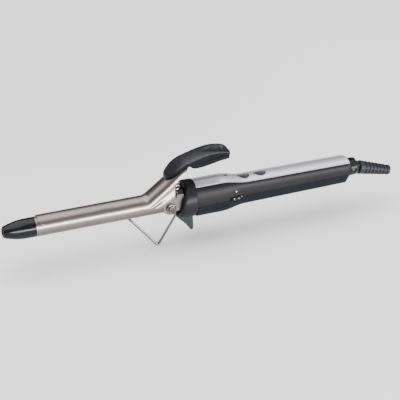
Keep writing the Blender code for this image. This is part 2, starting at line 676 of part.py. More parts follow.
def make_shells(finish):
    front = COLLAR_REAR + GAP
    stations = [front] + HANDLE_STATIONS
    upper = piece("handle_upper_shell", loft([upper_ring(x) for x in stations]), finish["shell_plastic"])
    lower = piece("handle_lower_shell", loft([lower_ring(x) for x in stations]), finish["lower_plastic"])
    stations = [front - 5.0] + HANDLE_STATIONS[:-3] + [REAR_WALL_X]
    mouth_r = SWIVEL_NECK_R + GAP
    for shell in (upper, lower):
        cutter(shell, loft([cavity_ring(x) for x in stations]))
        cutter(shell, rod((REAR_WALL_X - 3, 0, SWIVEL_Z), (HANDLE_END + 5, 0, SWIVEL_Z), mouth_r, 28))

    dial_y, dial_low, dial_high = dial_place()
    for shell in (upper, lower):
        well_r = DIAL_R + GAP + 0.1
        cutter(shell, rod((DIAL_X, dial_y, dial_low - GAP), (DIAL_X, dial_y, dial_high + GAP), well_r, 32))

    for x in CASE_SCREW_X:
        _, parting, edge, bottom = handle_size(x)
        roof = edge + PANEL_CROWN - PANEL_T - GAP - HANDLE_WALL * 0.5
        cutter(lower, rod((x, 0, bottom + 1.0), (x, 0, parting - 2 * GAP), BOSS_R, 16), 'UNION')
        cutter(upper, rod((x, 0, parting + GAP), (x, 0, roof), BOSS_R, 16), 'UNION')
    for number, x in enumerate(CASE_SCREW_X):
        _, parting, _, bottom = handle_size(x)
        head_seat = bottom + 3.0
        wide = CASE_SCREW_HEAD_R + GAP
        narrow = CASE_SCREW_R + GAP
        deep = head_seat + 2.0 + GAP - (bottom - 1)
        step = [(0, wide), (deep, wide), (deep, narrow), (parting + 2 - (bottom - 1), narrow)]
        cutter(lower, aim(turned(step, 16), (x, 0, bottom - 1), (0, 0, 1)))
        cutter(upper, rod((x, 0, parting - 2), (x, 0, parting + 7.0), narrow, 16))
        long = parting + 6.0 - head_seat
        profile = [(0, CASE_SCREW_HEAD_R), (2.0, CASE_SCREW_HEAD_R), (2.0, CASE_SCREW_R), (long, CASE_SCREW_R)]
        bm = aim(turned(profile, 14), (x, 0, head_seat), (0, 0, 1))
        piece(f"case_screw_{number + 1}", bm, finish["steel"])

    rings = []
    for x in [COLLAR_REAR + GAP] + HANDLE_STATIONS:
        edge = handle_size(x)[2]
        over = crown_arc(PANEL_HALF_W, edge, PANEL_CROWN, 9)
        under = [(y, z - PANEL_T) for y, z in reversed(over)]
        rings.append([(x, y, z) for y, z in over + under])
    panel = piece("top_panel", loft(rings), finish["silver"])

    for name, x in BUTTON_X.items():
        high = panel_top(x) + 3
        for part in (upper, panel):
            cutter(part, plate(teardrop(x, BUTTON_FIT), high - 12, high, 'Z'))
    circle = arc((0, 0), 1.0, 0, 337.5, 16)
    long, wide = LENS_HALF
    lens = [(LENS_X + long * c, wide * s) for c, s in circle]
    grown = [(LENS_X + (long + GAP) * c, (wide + GAP) * s) for c, s in circle]
    high = panel_top(LENS_X)
    for part in (upper, panel):
        cutter(part, plate(grown, high - 8, high + 3, 'Z'))
    piece("indicator_lens", plate(lens, high - 3.4, high + 0.3, 'Z'), finish["red_lens"])


def dial_place():
    """Sideways place, underside and top of the thumbwheel."""
    half, parting, _, _ = handle_size(DIAL_X)
    middle = parting - GAP / 2 + DIAL_RISE
    return -(half + DIAL_PROUD - DIAL_R), middle - DIAL_T / 2, middle + DIAL_T / 2


def make_controls(finish):
    for name, x in BUTTON_X.items():
        high = panel_top(x) - BUTTON_SINK
        button = piece(name, plate(teardrop(x), high - BUTTON_HEIGHT, high, 'Z'), finish["button_metal"])
        soften = button.modifiers.new("edge", 'BEVEL')
        soften.width = 0.35 * MM
        soften.segments = 1
        soften.limit_method = 'ANGLE'

    dial_y, low, high = dial_place()
    disc = [(low, AXLE_R + GAP), (low, DIAL_R - 0.5), (low + 0.5, DIAL_R), (high - 0.5, DIAL_R),
            (high, DIAL_R - 0.5), (high, AXLE_R + GAP)]
    bm = aim(turned(disc, 36, ring=True), (DIAL_X, dial_y, 0), (0, 0, 1))
    piece("temperature_dial", bm, finish["dial_plastic"])
    pot_low = high + GAP
    piece("dial_axle", rod((DIAL_X, dial_y, low - 3.0), (DIAL_X, dial_y, high), AXLE_R, 16), finish["steel"])
    body = rod((DIAL_X, dial_y, pot_low), (DIAL_X, dial_y, BOARD_Z - GAP), 4.2, 20)
    piece("potentiometer", body, finish["black_plastic"])

    board_top = BOARD_Z + BOARD_T
    piece("circuit_board", block((BOARD_X[0], -BOARD_HALF_W, BOARD_Z), (BOARD_X[1], BOARD_HALF_W, board_top)),
          finish["board_green"])
    for name, x in BUTTON_X.items():
        top = panel_top(x) - BUTTON_SINK - BUTTON_HEIGHT - 1.0
        bm = block((x - 3, -3, board_top + GAP), (x + 3, 3, top))
        piece(name.replace("button", "switch"), bm, finish["black_plastic"])
    led_top = panel_top(LENS_X) - 3.4 - GAP
    piece("indicator_led", rod((LENS_X, 0, board_top + GAP), (LENS_X, 0, led_top), 1.5, 14), finish["red_lens"])
    under = BOARD_Z - GAP - 4
    piece("capacitor", rod((101, 2.5, under), (113, 2.5, under), 4.0, 18), finish["blue_sleeve"])
    piece("triac", block((84, -5, BOARD_Z - GAP - 4), (94, 5, BOARD_Z - GAP)), finish["black_plastic"])
    piece("triac_heat_sink", block((83, -6, BOARD_Z - 2 * GAP - 6), (95, 6, BOARD_Z - 2 * GAP - 4)), finish["aluminium"])


def make_leads(finish):
    """Two leads from the heater to the board and two from the board to the swivel's contact springs."""
    for name, side in (("heater_lead_left", -1), ("heater_lead_right", 1)):
        route = [(HEATER_REAR + GAP, side * 4.0, 0), (20, side * 4.0, 0), (40, side * 4.2, 1.0),
                 (52, side * 6.4, 3.8), (BOARD_X[0] - GAP, side * 6.4, BOARD_Z + 0.8)]
        wire(name, rounded(route, 4.0, 3), 0.8, finish["lead_sleeve"], resolution=1)
    for name, side in (("supply_lead_left", -1), ("supply_lead_right", 1)):
        stem = REAR_WALL_X - GAP - 12.8
        route = [(BOARD_X[1] + GAP, side * 6.0, BOARD_Z + 0.8), (140, side * 6.6, 2.0),
                 (stem - 6, side * 6.6, SWIVEL_Z), (stem - 1.4, side * 6.6, SWIVEL_Z)]
        wire(name, rounded(route, 4.0, 3), 0.8, finish["lead_sleeve"], resolution=1)
        low = SWIVEL_STEM_R + 1.0 + GAP * 2
        y_low, y_high = sorted((side * low, side * (low + 0.6)))
        reach = stem + (4.4 if side < 0 else 8.4)
        blade = block((stem - 1.1, y_low, SWIVEL_Z - 1.6), (reach, y_high, SWIVEL_Z + 1.6))
        piece(f"contact_spring_{'left' if side < 0 else 'right'}", blade, finish["brass"])


# ---------------------------------------------------------------- swivel and cord guard

def make_swivel(finish):
    flange = REAR_WALL_X - GAP
    stem = flange - 12.8
    dome = HANDLE_END + GAP
    core = [(stem, 2.4), (stem, SWIVEL_STEM_R), (flange - 2.2, SWIVEL_STEM_R), (flange - 2.2, SWIVEL_FLANGE_R),
            (flange, SWIVEL_FLANGE_R), (flange, SWIVEL_NECK_R), (dome, SWIVEL_NECK_R), (dome, SWIVEL_R - 0.6),
            (dome + 0.8, SWIVEL_R), (dome + 7.4, SWIVEL_R), (dome + 10.2, SWIVEL_R - 0.9),
            (dome + 12.0, SWIVEL_R - 2.4), (dome + 12.0, 2.4)]
    bm = turned(core, 24, ring=True)
    bmesh.ops.translate(bm, vec=(0, 0, SWIVEL_Z), verts=bm.verts)
    body = piece("swivel_core", bm, finish["shell_plastic"])
    slot = TONGUE_T + GAP
    cutter(body, block((SWIVEL_X - 5.4 - GAP, -slot, -12), (SWIVEL_X + 14, slot, 14)))
    cutter(body, rod((SWIVEL_X, -12, SWIVEL_Z), (SWIVEL_X, 12, SWIVEL_Z), SWIVEL_PIN_R + GAP, 16))
    reach = SWIVEL_R - 1.0
    pin = rod((SWIVEL_X, -reach, SWIVEL_Z), (SWIVEL_X, reach, SWIVEL_Z), SWIVEL_PIN_R, 16)
    piece("swivel_pin", pin, finish["steel"])
    inner = SWIVEL_STEM_R + GAP
    for name, start in (("contact_ring_front", stem + 2.0), ("contact_ring_rear", stem + 6.0)):
        ring = [(start, inner), (start, inner + 1.0), (start + 2.4, inner + 1.0), (start + 2.4, inner)]
        bm = turned(ring, 24, ring=True)
        bmesh.ops.translate(bm, vec=(0, 0, SWIVEL_Z), verts=bm.verts)
        piece(name, bm, finish["brass"])


def make_guard(finish):
    """The ribbed cord guard: a tongue on the swivel's pin and a tapered sleeve."""
    profile = [(GUARD_START, GUARD_BORE_R), (GUARD_START, GUARD_R[0] - 0.6), (GUARD_START + 0.6, GUARD_R[0])]
    end = GUARD_LENGTH
    slope = (GUARD_R[1] - GUARD_R[0]) / (end - GUARD_START)
    s = GUARD_START + 5.0
    while s + RIB_PITCH < end:
        radius = GUARD_R[0] + slope * (s - GUARD_START)
        groove = RIB_PITCH * 0.34
        profile += [(s, radius), (s + 0.15, radius - RIB_DEPTH), (s + groove - 0.15, radius - RIB_DEPTH),
                    (s + groove, radius + slope * groove)]
        s += RIB_PITCH
    profile += [(end - 0.5, GUARD_R[1]), (end, GUARD_R[1] - 0.5), (end, GUARD_BORE_R)]
    bm = turned(profile, 18, ring=True)
    rotate(bm, math.radians(GUARD_DROP), 'Y')
    bmesh.ops.translate(bm, vec=(SWIVEL_X, 0, SWIVEL_Z), verts=bm.verts)
    guard = piece("cord_guard", bm, finish["guard_rubber"])
    outline = arc((0, 0), 5.0, 60, 300, 15) + [(GUARD_START + 0.8, -4.4), (GUARD_START + 0.8, 4.4)]
    bm = plate(outline, -TONGUE_T, TONGUE_T, 'Y')
    rotate(bm, math.radians(GUARD_DROP), 'Y')
    bmesh.ops.translate(bm, vec=(SWIVEL_X, 0, SWIVEL_Z), verts=bm.verts)
    cutter(guard, bm, 'UNION')
    cutter(guard, rod((SWIVEL_X, -12, SWIVEL_Z), (SWIVEL_X, 12, SWIVEL_Z), SWIVEL_PIN_R + GAP, 16))


def carry():
    """Hangs every piece on one empty, placed so that the origin is the box's bottom centre."""
    empty = bpy.data.objects.new("iron", None)
    bpy.context.scene.collection.objects.link(empty)
    for obj in PIECES:
        obj.parent = empty
    bpy.context.view_layer.update()
    graph = bpy.context.evaluated_depsgraph_get()
    corners = []
    for obj in PIECES:
        if not obj.hide_render:
            seen = obj.evaluated_get(graph)
            corners += [v.co for v in seen.to_mesh().vertices]
    low = [min(c[i] for c in corners) for i in range(3)]
    high = [max(c[i] for c in corners) for i in range(3)]
    empty.location = (-(low[0] + high[0]) / 2, 0.0, -low[2])
    print("pivot at", [round(c, 6) for c in empty.location])
    print("box", [round(a, 5) for a in low], [round(a, 5) for a in high])


def main():
    clear_scene()
    finish = {
        "titanium": material("titanium", (0.34, 0.29, 0.28), 0.28, 1.0),
        "tip_plastic": material("tip_plastic", (0.006, 0.010, 0.013), 0.12),
        "ceramic": material("ceramic", (0.75, 0.73, 0.68), 0.5),
        "aluminium": material("aluminium", (0.6, 0.6, 0.62), 0.35, 1.0),
        "lever_plastic": material("lever_plastic", (0.02, 0.022, 0.025), 0.3),
        "steel": material("steel", (0.5, 0.5, 0.5), 0.3, 1.0),
        "screw_steel": material("screw_steel", (0.32, 0.32, 0.30), 0.3, 1.0),
        "chrome": material("chrome", (0.7, 0.7, 0.7), 0.1, 1.0),
        "shell_plastic": material("shell_plastic", (0.045, 0.045, 0.05), 0.35),
        "lower_plastic": material("lower_plastic", (0.022, 0.027, 0.032), 0.4),
        "fin_plastic": material("fin_plastic", (0.09, 0.10, 0.115), 0.4),
        "silver": material("silver", (0.52, 0.52, 0.56), 0.35, 0.6),
        "button_metal": material("button_metal", (0.25, 0.25, 0.27), 0.3, 0.8),
        "dial_plastic": material("dial_plastic", (0.03, 0.03, 0.035), 0.4),
        "red_lens": material("red_lens", (0.25, 0.005, 0.02), 0.15),
        "black_plastic": material("black_plastic", (0.02, 0.02, 0.02), 0.4),
        "board_green": material("board_green", (0.02, 0.13, 0.05), 0.45),
        "blue_sleeve": material("blue_sleeve", (0.03, 0.06, 0.2), 0.4),
        "lead_sleeve": material("lead_sleeve", (0.75, 0.72, 0.65), 0.5),
        "brass": material("brass", (0.6, 0.42, 0.15), 0.3, 1.0),
        "phenolic": material("phenolic", (0.10, 0.05, 0.03), 0.5),
        "guard_rubber": material("guard_rubber", (0.06, 0.065, 0.07), 0.5),
    }
    make_barrel(finish)
    make_clamp(finish)
    make_lever(finish)
    make_pivot(finish)
    make_spring(finish)
    make_stand(finish)
    make_collar(finish)
    make_shells(finish)
    make_controls(finish)
    make_leads(finish)
    make_swivel(finish)
    make_guard(finish)
    carry()


main()
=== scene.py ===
# %% [markdown]
# # A curling iron, built as a lesson
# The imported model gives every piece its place: a heated barrel, a sprung clamp, a wire stand and a
# moulded handle. This script keeps those places and makes each visible piece again with finer
# shapes and real finishes. All lengths are in millimetres in the iron's own frame: X runs along the
# barrel from the clamp's pivot to the cord, Y is sideways and Z is up through the thumb lever.

# %% Load the frame
import json
import math

import bmesh
import bpy
from mathutils import Matrix, Vector


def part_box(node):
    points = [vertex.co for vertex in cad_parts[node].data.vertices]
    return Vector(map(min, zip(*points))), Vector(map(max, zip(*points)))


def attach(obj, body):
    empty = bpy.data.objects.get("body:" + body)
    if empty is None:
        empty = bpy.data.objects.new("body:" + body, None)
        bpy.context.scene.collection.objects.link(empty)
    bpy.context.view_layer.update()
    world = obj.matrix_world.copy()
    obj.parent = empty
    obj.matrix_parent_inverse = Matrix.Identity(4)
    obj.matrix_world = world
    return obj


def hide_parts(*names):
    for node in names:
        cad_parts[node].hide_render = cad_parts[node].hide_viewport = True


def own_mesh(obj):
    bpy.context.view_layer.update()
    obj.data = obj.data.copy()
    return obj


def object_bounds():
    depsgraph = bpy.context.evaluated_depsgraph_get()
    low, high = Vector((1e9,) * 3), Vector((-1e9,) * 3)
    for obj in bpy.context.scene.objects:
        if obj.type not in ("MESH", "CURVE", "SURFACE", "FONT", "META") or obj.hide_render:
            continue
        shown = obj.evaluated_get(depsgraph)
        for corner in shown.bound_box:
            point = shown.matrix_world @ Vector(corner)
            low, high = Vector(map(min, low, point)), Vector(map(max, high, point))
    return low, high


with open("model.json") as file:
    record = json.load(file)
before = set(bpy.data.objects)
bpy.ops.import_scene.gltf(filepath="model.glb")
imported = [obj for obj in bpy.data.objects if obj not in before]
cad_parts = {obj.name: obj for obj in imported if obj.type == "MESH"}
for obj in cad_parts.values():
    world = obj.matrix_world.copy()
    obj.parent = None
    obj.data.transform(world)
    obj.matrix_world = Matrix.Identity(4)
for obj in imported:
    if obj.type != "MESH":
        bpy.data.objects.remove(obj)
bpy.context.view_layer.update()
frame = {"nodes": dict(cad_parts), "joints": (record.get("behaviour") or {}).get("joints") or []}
nodes = frame["nodes"]
joints = {joint["name"]: joint for joint in frame["joints"]}
MM = 0.001
pivot = Vector(joints["clamp_hinge"]["pos_m"])
print("pivot of the clamp at", [round(c, 5) for c in pivot])

# %% [markdown]
# A node's box tells how big the real piece is, so the driving sizes are read from the frame instead
# of being typed again. `limits` gives a box in millimetres around the pivot.


# %% Read sizes from the frame
def limits(node):
    low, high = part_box(node)
    return (low - pivot) / MM, (high - pivot) / MM


def joint_place(name):
    return (Vector(joints[name]["pos_m"]) - pivot) / MM


barrel_low, barrel_high = limits("barrel_tube")
barrel_r = barrel_high.z
barrel_front = barrel_low.x
tip_end = limits("cool_tip")[0].x
spoon_front = limits("clamp_spoon")[0].x
handle_front = limits("handle_upper_shell")[0].x
handle_end = limits("handle_upper_shell")[1].x
floor_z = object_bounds()[0].z
print("barrel radius", round(barrel_r, 2), "handle ends at", round(handle_end, 1))

# %% [markdown]
# Every piece goes through the same last steps: merge the doubles, turn the faces outwards, scale to
# metres around the pivot and hang it on the body that it moves with. `make_piece` does them once.


# %% Helpers that turn a bmesh into a piece
def make_piece(name, bm, finish, body, stands_for=(), sharp=35.0, heal=True):
    if heal:
        bmesh.ops.remove_doubles(bm, verts=bm.verts, dist=0.0005)
        bmesh.ops.recalc_face_normals(bm, faces=bm.faces)
    bmesh.ops.scale(bm, vec=(MM, MM, MM), verts=bm.verts)
    bmesh.ops.translate(bm, vec=pivot, verts=bm.verts)
    mesh = bpy.data.meshes.new(name)
    bm.to_mesh(mesh)
    bm.free()
    mesh.shade_smooth()
    mesh.set_sharp_from_angle(angle=math.radians(sharp))
    mesh.materials.append(finish)
    obj = bpy.data.objects.new(name, mesh)
    bpy.context.scene.collection.objects.link(obj)
    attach(obj, body)
    if stands_for:
        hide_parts(*stands_for)
    return obj


def soften(obj, width, segments=2, angle=40.0):
    """Rounds the hard edges of a finished piece by a small width in millimetres."""
    step = obj.modifiers.new("soft edges", 'BEVEL')
    step.width = width * MM
    step.segments = segments
    step.limit_method = 'ANGLE'
    step.angle_limit = math.radians(angle)
    step.harden_normals = False
    return obj


def combine(bm, others, operation='DIFFERENCE'):
    """Cuts closed shapes from a bmesh, or joins them on, and returns the result as a new bmesh."""
    scene = bpy.context.scene.collection
    made = []
    for shape in [bm, *others]:
        bmesh.ops.recalc_face_normals(shape, faces=shape.faces)
        mesh = bpy.data.meshes.new("work")
        shape.to_mesh(mesh)
        shape.free()
        obj = bpy.data.objects.new("work", mesh)
        scene.objects.link(obj)
        made.append(obj)
    for tool in made[1:]:
        step = made[0].modifiers.new("cut", 'BOOLEAN')
        step.operation = operation
        step.solver = 'EXACT'
        step.object = tool
    graph = bpy.context.evaluated_depsgraph_get()
    result = bmesh.new()
    result.from_mesh(made[0].evaluated_get(graph).to_mesh())
    for obj in made:
        bpy.data.objects.remove(obj)
    return result


# %% [markdown]
# Most pieces on an iron are either turned or drawn over a curve. `spun` turns an (x, radius)
# profile about the barrel's axis. `draped_grid` starts from a flat grid and moves every vertex to
# a place on the real surface, which is the tidy way to make a handle or a pressed sheet, because
# the formula says what the shape is.


# %% Helpers that make shapes
def spun(profile, steps=96, closed=False):
    bm = bmesh.new()
    chain = [bm.verts.new((x, 0, r)) for x, r in profile]
    edges = [bm.edges.new(pair) for pair in zip(chain, chain[1:])]
    if closed:
        edges.append(bm.edges.new((chain[-1], chain[0])))
    bmesh.ops.spin(bm, geom=chain + edges, cent=(0, 0, 0), axis=(1, 0, 0),
                   angle=math.tau, steps=steps, use_merge=True)
    bmesh.ops.holes_fill(bm, edges=[e for e in bm.edges if e.is_boundary])
    return bm


def draped_grid(columns, rows, where, closed=False):
    """A grid whose corners move to where(u, v); closed joins its two long edges and fills the ends."""
    bm = bmesh.new()
    bmesh.ops.create_grid(bm, x_segments=columns, y_segments=rows, size=0.5)
    for v in bm.verts:
        v.co = where(v.co.x + 0.5, v.co.y + 0.5)
    if closed:
        bmesh.ops.remove_doubles(bm, verts=bm.verts, dist=0.0005)
        bmesh.ops.holes_fill(bm, edges=[e for e in bm.edges if e.is_boundary])
    return bm


def aim(bm, start, direction):
    """Turns a shape drawn along X to a direction and moves it to its start."""
    turn = Vector((1, 0, 0)).rotation_difference(Vector(direction)).to_matrix()
    bmesh.ops.rotate(bm, cent=(0, 0, 0), matrix=turn, verts=bm.verts)
    bmesh.ops.translate(bm, vec=start, verts=bm.verts)
    return bm


def prism(outline, low, high, normal):
    """Extrudes an outline: normal Y takes (x, z) points, normal Z takes (x, y) points."""
    bm = bmesh.new()
    if normal == 'Y':
        corners = [bm.verts.new((a, low, b)) for a, b in outline]
        step = (0, high - low, 0)
    else:
        corners = [bm.verts.new((a, b, low)) for a, b in outline]
        step = (0, 0, high - low)
    face = bm.faces.new(corners)
    grown = bmesh.ops.extrude_face_region(bm, geom=[face])
    top = [v for v in grown["geom"] if isinstance(v, bmesh.types.BMVert)]
    bmesh.ops.translate(bm, vec=step, verts=top)
    return bm


def box_between(low, high):
    bm = bmesh.new()
    bmesh.ops.create_cube(bm, size=1.0)
    low, high = Vector(low), Vector(high)
    bmesh.ops.scale(bm, vec=high - low, verts=bm.verts)
    bmesh.ops.translate(bm, vec=(low + high) / 2, verts=bm.verts)
    return bm


def arc(centre, radius, start, end, count):
    """Points on a flat arc, angles in degrees."""
    angles = [math.radians(start + (end - start) * i / (count - 1)) for i in range(count)]
    return [(centre[0] + radius * math.cos(a), centre[1] + radius * math.sin(a)) for a in angles]


# %% [markdown]
# Three small functions describe how a size changes along the iron: `step` is a smooth step between
# two stations, `line` joins given points with straight runs, and `flow` joins them with a smooth
# curve that doesn't overshoot much.


# %% Helpers for sizes that change along the iron
def step(x, start, end, low, high):
    t = min(max((x - start) / (end - start), 0.0), 1.0)
    return low + (high - low) * t * t * (3 - 2 * t)


def line(points, x):
    if x <= points[0][0]:
        return points[0][1]
    for (xa, a), (xb, b) in zip(points, points[1:]):
        if x <= xb:
            return a + (b - a) * (x - xa) / (xb - xa)
    return points[-1][1]


def flow(points, x):
    if x <= points[0][0]:
        return points[0][1]
    if x >= points[-1][0]:
        return points[-1][1]

    def lean(i):
        a, b = points[max(i - 1, 0)], points[min(i + 1, len(points) - 1)]
        return (b[1] - a[1]) / (b[0] - a[0])

    i = max(k for k in range(len(points) - 1) if points[k][0] <= x)
    (xa, a), (xb, b) = points[i], points[i + 1]
    run = xb - xa
    t = (x - xa) / run
    return ((2 * t ** 3 - 3 * t ** 2 + 1) * a + (t ** 3 - 2 * t ** 2 + t) * run * lean(i)
            + (3 * t ** 2 - 2 * t ** 3) * b + (t ** 3 - t ** 2) * run * lean(i + 1))


# %% [markdown]
# ## Finishes
# A finish is a node tree. Written as plain nodes it is hard to read, so one class wraps an output
# socket and lets ordinary maths build the Math nodes. `Finish.node` makes every other kind of node.


# %% Shader maths as Python expressions
class Signal:
    """One output of a finish's node tree, usable in sums."""

    def __init__(self, finish, socket):
        self.finish = finish
        self.socket = socket

    def maths(self, operation, a, b):
        return self.finish.node("ShaderNodeMath", {"operation": operation}, {0: a, 1: b})

    def __add__(self, other):
        return self.maths('ADD', self, other)

    def __sub__(self, other):
        return self.maths('SUBTRACT', self, other)

    def __rsub__(self, other):
        return self.maths('SUBTRACT', other, self)

    def __mul__(self, other):
        return self.maths('MULTIPLY', self, other)

    __radd__ = __add__
    __rmul__ = __mul__


class Finish:
    """A Principled material and the signals that feed it."""

    def __init__(self, name, **plain):
        self.material = bpy.data.materials.new(name)
        self.material.use_nodes = True
        self.tree = self.material.node_tree
        self.shader = self.tree.nodes["Principled BSDF"]
        for socket, value in plain.items():
            self.set(socket.replace("_", " "), value)

    def set(self, socket, value):
        self.feed(self.shader.inputs[socket], value)

    def feed(self, socket, value):
        if isinstance(value, Signal):
            self.tree.links.new(value.socket, socket)
        elif isinstance(value, tuple) and len(value) == 3 and socket.type == 'RGBA':
            socket.default_value = (*value, 1.0)
        else:
            socket.default_value = value

    def node(self, kind, settings=None, sockets=None, out=0):
        made = self.tree.nodes.new(kind)
        for setting, value in (settings or {}).items():
            if setting == "stops":
                ramp = made.color_ramp
                while len(ramp.elements) < len(value):
                    ramp.elements.new(0.5)
                for element, (place, color) in zip(ramp.elements, value):
                    element.position = place
                    element.color = (*color, 1.0)
            else:
                setattr(made, setting, value)
        for socket, value in (sockets or {}).items():
            self.feed(made.inputs[socket], value)
        return Signal(self, made.outputs[out])

    def place(self, scale=(1.0, 1.0, 1.0)):
        """Object coordinates in millimetres, stretched by a scale."""
        source = self.node("ShaderNodeTexCoord", out="Object")
        size = tuple(s / MM for s in scale)
        return self.node("ShaderNodeMapping", None, {"Vector": source, "Scale": size})

    def noise(self, vector, scale, detail=2.0, rough=0.5):
        sockets = {"Vector": vector, "Scale": scale, "Detail": detail, "Roughness": rough}
        return self.node("ShaderNodeTexNoise", None, sockets)

    def mix(self, amount, first, second):
        settings = {"data_type": 'RGBA'}
        return self.node("ShaderNodeMix", settings, {0: amount, 6: first, 7: second}, out=2)

    def bump(self, height, strength, distance=0.1):
        sockets = {"Height": height, "Strength": strength, "Distance": distance * MM}
        self.set("Normal", self.node("ShaderNodeBump", None, sockets))


# %% [markdown]
# The barrel and clamp wear a titanium coat: a warm grey metal, lightly blasted, with faint lines
# drawn along its length. A stretched noise gives the lines, a fine one gives the blasting, and a
# slow one varies the tint as heat does.


# %% Titanium coat
def titanium_coat(name, lengthwise):
    stretch = (0.02, 1.0, 1.0) if lengthwise else (1.0, 1.0, 0.06)
    coat = Finish(name, Metallic=1.0, IOR=1.5)
    lines = coat.noise(coat.place(stretch), 2.4, 3.0, 0.6)
    grain = coat.noise(coat.place(), 9.0, 2.0)
    tint = coat.noise(coat.place((0.4, 1.0, 1.0)), 0.06, 1.0)
    coat.set("Base Color", coat.mix(tint * 0.5 + lines * 0.4, (0.140, 0.116, 0.110), (0.235, 0.205, 0.197)))
    coat.set("Roughness", lines * 0.10 + grain * 0.06 + 0.23)
    coat.bump(lines * 0.6 + grain * 0.4, 0.10, 0.02)
    return coat.material


titanium_barrel = titanium_coat("titanium_barrel", lengthwise=True)
titanium_sheet = titanium_coat("titanium_sheet", lengthwise=True)


# %% [markdown]
# Moulded plastic is never flat: the tool leaves a fine spark texture, handling polishes the high
# spots, and the colour wanders a little. One function makes all the plastics, so a glossy tip and
# a satin handle differ only in their numbers.


# %% Moulded plastics
def moulded(name, color, rough, texture=0.25, scale=5.0, wander=0.15, shine=0.28):
    plastic = Finish(name, IOR=1.49, Specular_IOR_Level=shine)
    spark = plastic.noise(plastic.place(), scale, 3.0, 0.6)
    rub = plastic.noise(plastic.place((0.5, 1.0, 1.0)), 0.12, 2.0)
    light = tuple(min(1.0, c * (1 + 2 * wander) + 0.002) for c in color)
    dark = tuple(c * (1 - wander) for c in color)
    plastic.set("Base Color", plastic.mix(rub * 0.7 + spark * 0.3, dark, light))
    plastic.set("Roughness", rub * 0.12 + spark * 0.08 + (rough - 0.10))
    plastic.bump(spark, texture, 0.03)
    return plastic.material


tip_black = moulded("tip_black", (0.002, 0.003, 0.004), 0.20, texture=0.04, scale=2.0, shine=0.2)
shell_charcoal = moulded("shell_charcoal", (0.0065, 0.006, 0.0065), 0.42, shine=0.10)
# A darker copy of the shell plastic: painted shade for the handle's downward-facing lower flank.
lower_shaded_charcoal = moulded("lower_shaded_charcoal", (0.002, 0.0035, 0.0045), 0.42, shine=0.10)
collar_charcoal = moulded("collar_charcoal", (0.006, 0.006, 0.008), 0.40, shine=0.12)
fin_slate = moulded("fin_slate", (0.014, 0.0165, 0.019), 0.42, shine=0.15)
lever_black = moulded("lever_black", (0.012, 0.012, 0.0145), 0.30, texture=0.12, shine=0.3)
# A darker copy of the lever's plastic: painted shade for the lever's sides and underside.
lever_shaded_under = moulded("lever_shaded_under", (0.001, 0.002, 0.003), 0.24, texture=0.08, shine=0.14)
dial_black = moulded("dial_black", (0.006, 0.006, 0.007), 0.55, shine=0.08)
guard_vinyl = moulded("guard_vinyl", (0.012, 0.0135, 0.016), 0.45, texture=0.25, scale=3.0, shine=0.15)
swivel_black = moulded("swivel_black", (0.006, 0.007, 0.008), 0.32, shine=0.15)


# %% [markdown]
# The panel is silver lacquer: fine aluminium flakes under a clear coat. The flakes come from a
# Voronoi pattern, each cell a little brighter or duller than the next.


# %% Silver lacquer
def lacquer(name, dark, light, rough, metallic=0.55):
    paint = Finish(name, Metallic=metallic, Coat_Roughness=0.18)
    cell = paint.node("ShaderNodeTexVoronoi", None, {"Vector": paint.place(), "Scale": 7.0}, out="Color")
    flake = paint.node("ShaderNodeSeparateColor", None, {"Color": cell})
    cloud = paint.noise(paint.place((0.4, 1, 1)), 0.09, 1.0)
    paint.set("Base Color", paint.mix(flake * 0.55 + cloud * 0.45, dark, light))
    paint.set("Roughness", flake * 0.10 + (rough - 0.05))
    paint.set("Coat Weight", 0.35)
    paint.bump(flake, 0.05, 0.02)
    return paint.material


silver_lacquer = lacquer("silver_lacquer", (0.42, 0.42, 0.45), (0.55, 0.55, 0.59), 0.34)
button_lacquer = lacquer("button_lacquer", (0.035, 0.037, 0.041), (0.075, 0.078, 0.084), 0.36, 0.3)


# %% [markdown]
# Small metal parts: chrome for the stand's wire, plated steel for screws and spring, with
# fine scratches and a little grime in the roughness. Board, leads and coils sit inside the handle
# and still get finishes, because the shells can be taken off.


# %% Metals and inner parts
def metal(name, color, rough, scratch=0.08, scale=4.0):
    made = Finish(name, Metallic=1.0)
    marks = made.noise(made.place((0.15, 1, 1)), scale, 3.0, 0.65)
    haze = made.noise(made.place(), 0.25, 2.0)
    worn = tuple(c * 0.8 for c in color)
    made.set("Base Color", made.mix(haze, worn, color))
    made.set("Roughness", marks * scratch + haze * 0.06 + (rough - 0.04))
    made.bump(marks, 0.05, 0.02)
    return made.material


bright_chrome = metal("bright_chrome", (0.15, 0.15, 0.155), 0.12, 0.05)
plated_steel = metal("plated_steel", (0.50, 0.48, 0.46), 0.22)
screw_steel = metal("screw_steel", (0.11, 0.11, 0.10), 0.30)
bright_brass = metal("bright_brass", (0.62, 0.44, 0.17), 0.24)
milled_aluminium = metal("milled_aluminium", (0.62, 0.62, 0.64), 0.34)
fired_ceramic = moulded("fired_ceramic", (0.72, 0.70, 0.65), 0.60)
board_lacquer = moulded("board_lacquer", (0.02, 0.12, 0.05), 0.40, scale=1.5)
sleeve_braid = moulded("sleeve_braid", (0.70, 0.67, 0.60), 0.65, texture=0.6, scale=2.5)
brown_phenolic = moulded("brown_phenolic", (0.10, 0.05, 0.03), 0.55)
shrink_blue = moulded("shrink_blue", (0.03, 0.06, 0.20), 0.35)
inner_black = moulded("inner_black", (0.02, 0.02, 0.02), 0.45)
mark_white = moulded("mark_white", (0.75, 0.76, 0.76), 0.50, texture=0.05, wander=0.05)


def lamp_red(name):
    """Clear dark red plastic that glows a little from inside."""
    lens = Finish(name, Roughness=0.25, IOR=1.49, Specular_IOR_Level=0.3, Emission_Strength=0.04)
    depth = lens.noise(lens.place(), 0.8, 1.0)
    lens.set("Base Color", lens.mix(depth, (0.10, 0.001, 0.012), (0.18, 0.003, 0.025)))
    lens.set("Emission Color", (0.5, 0.01, 0.08))
    return lens.material


signal_red = lamp_red("signal_red")

# %% [markdown]
# Nodes whose shape is already right keep their mesh and only get a finish.


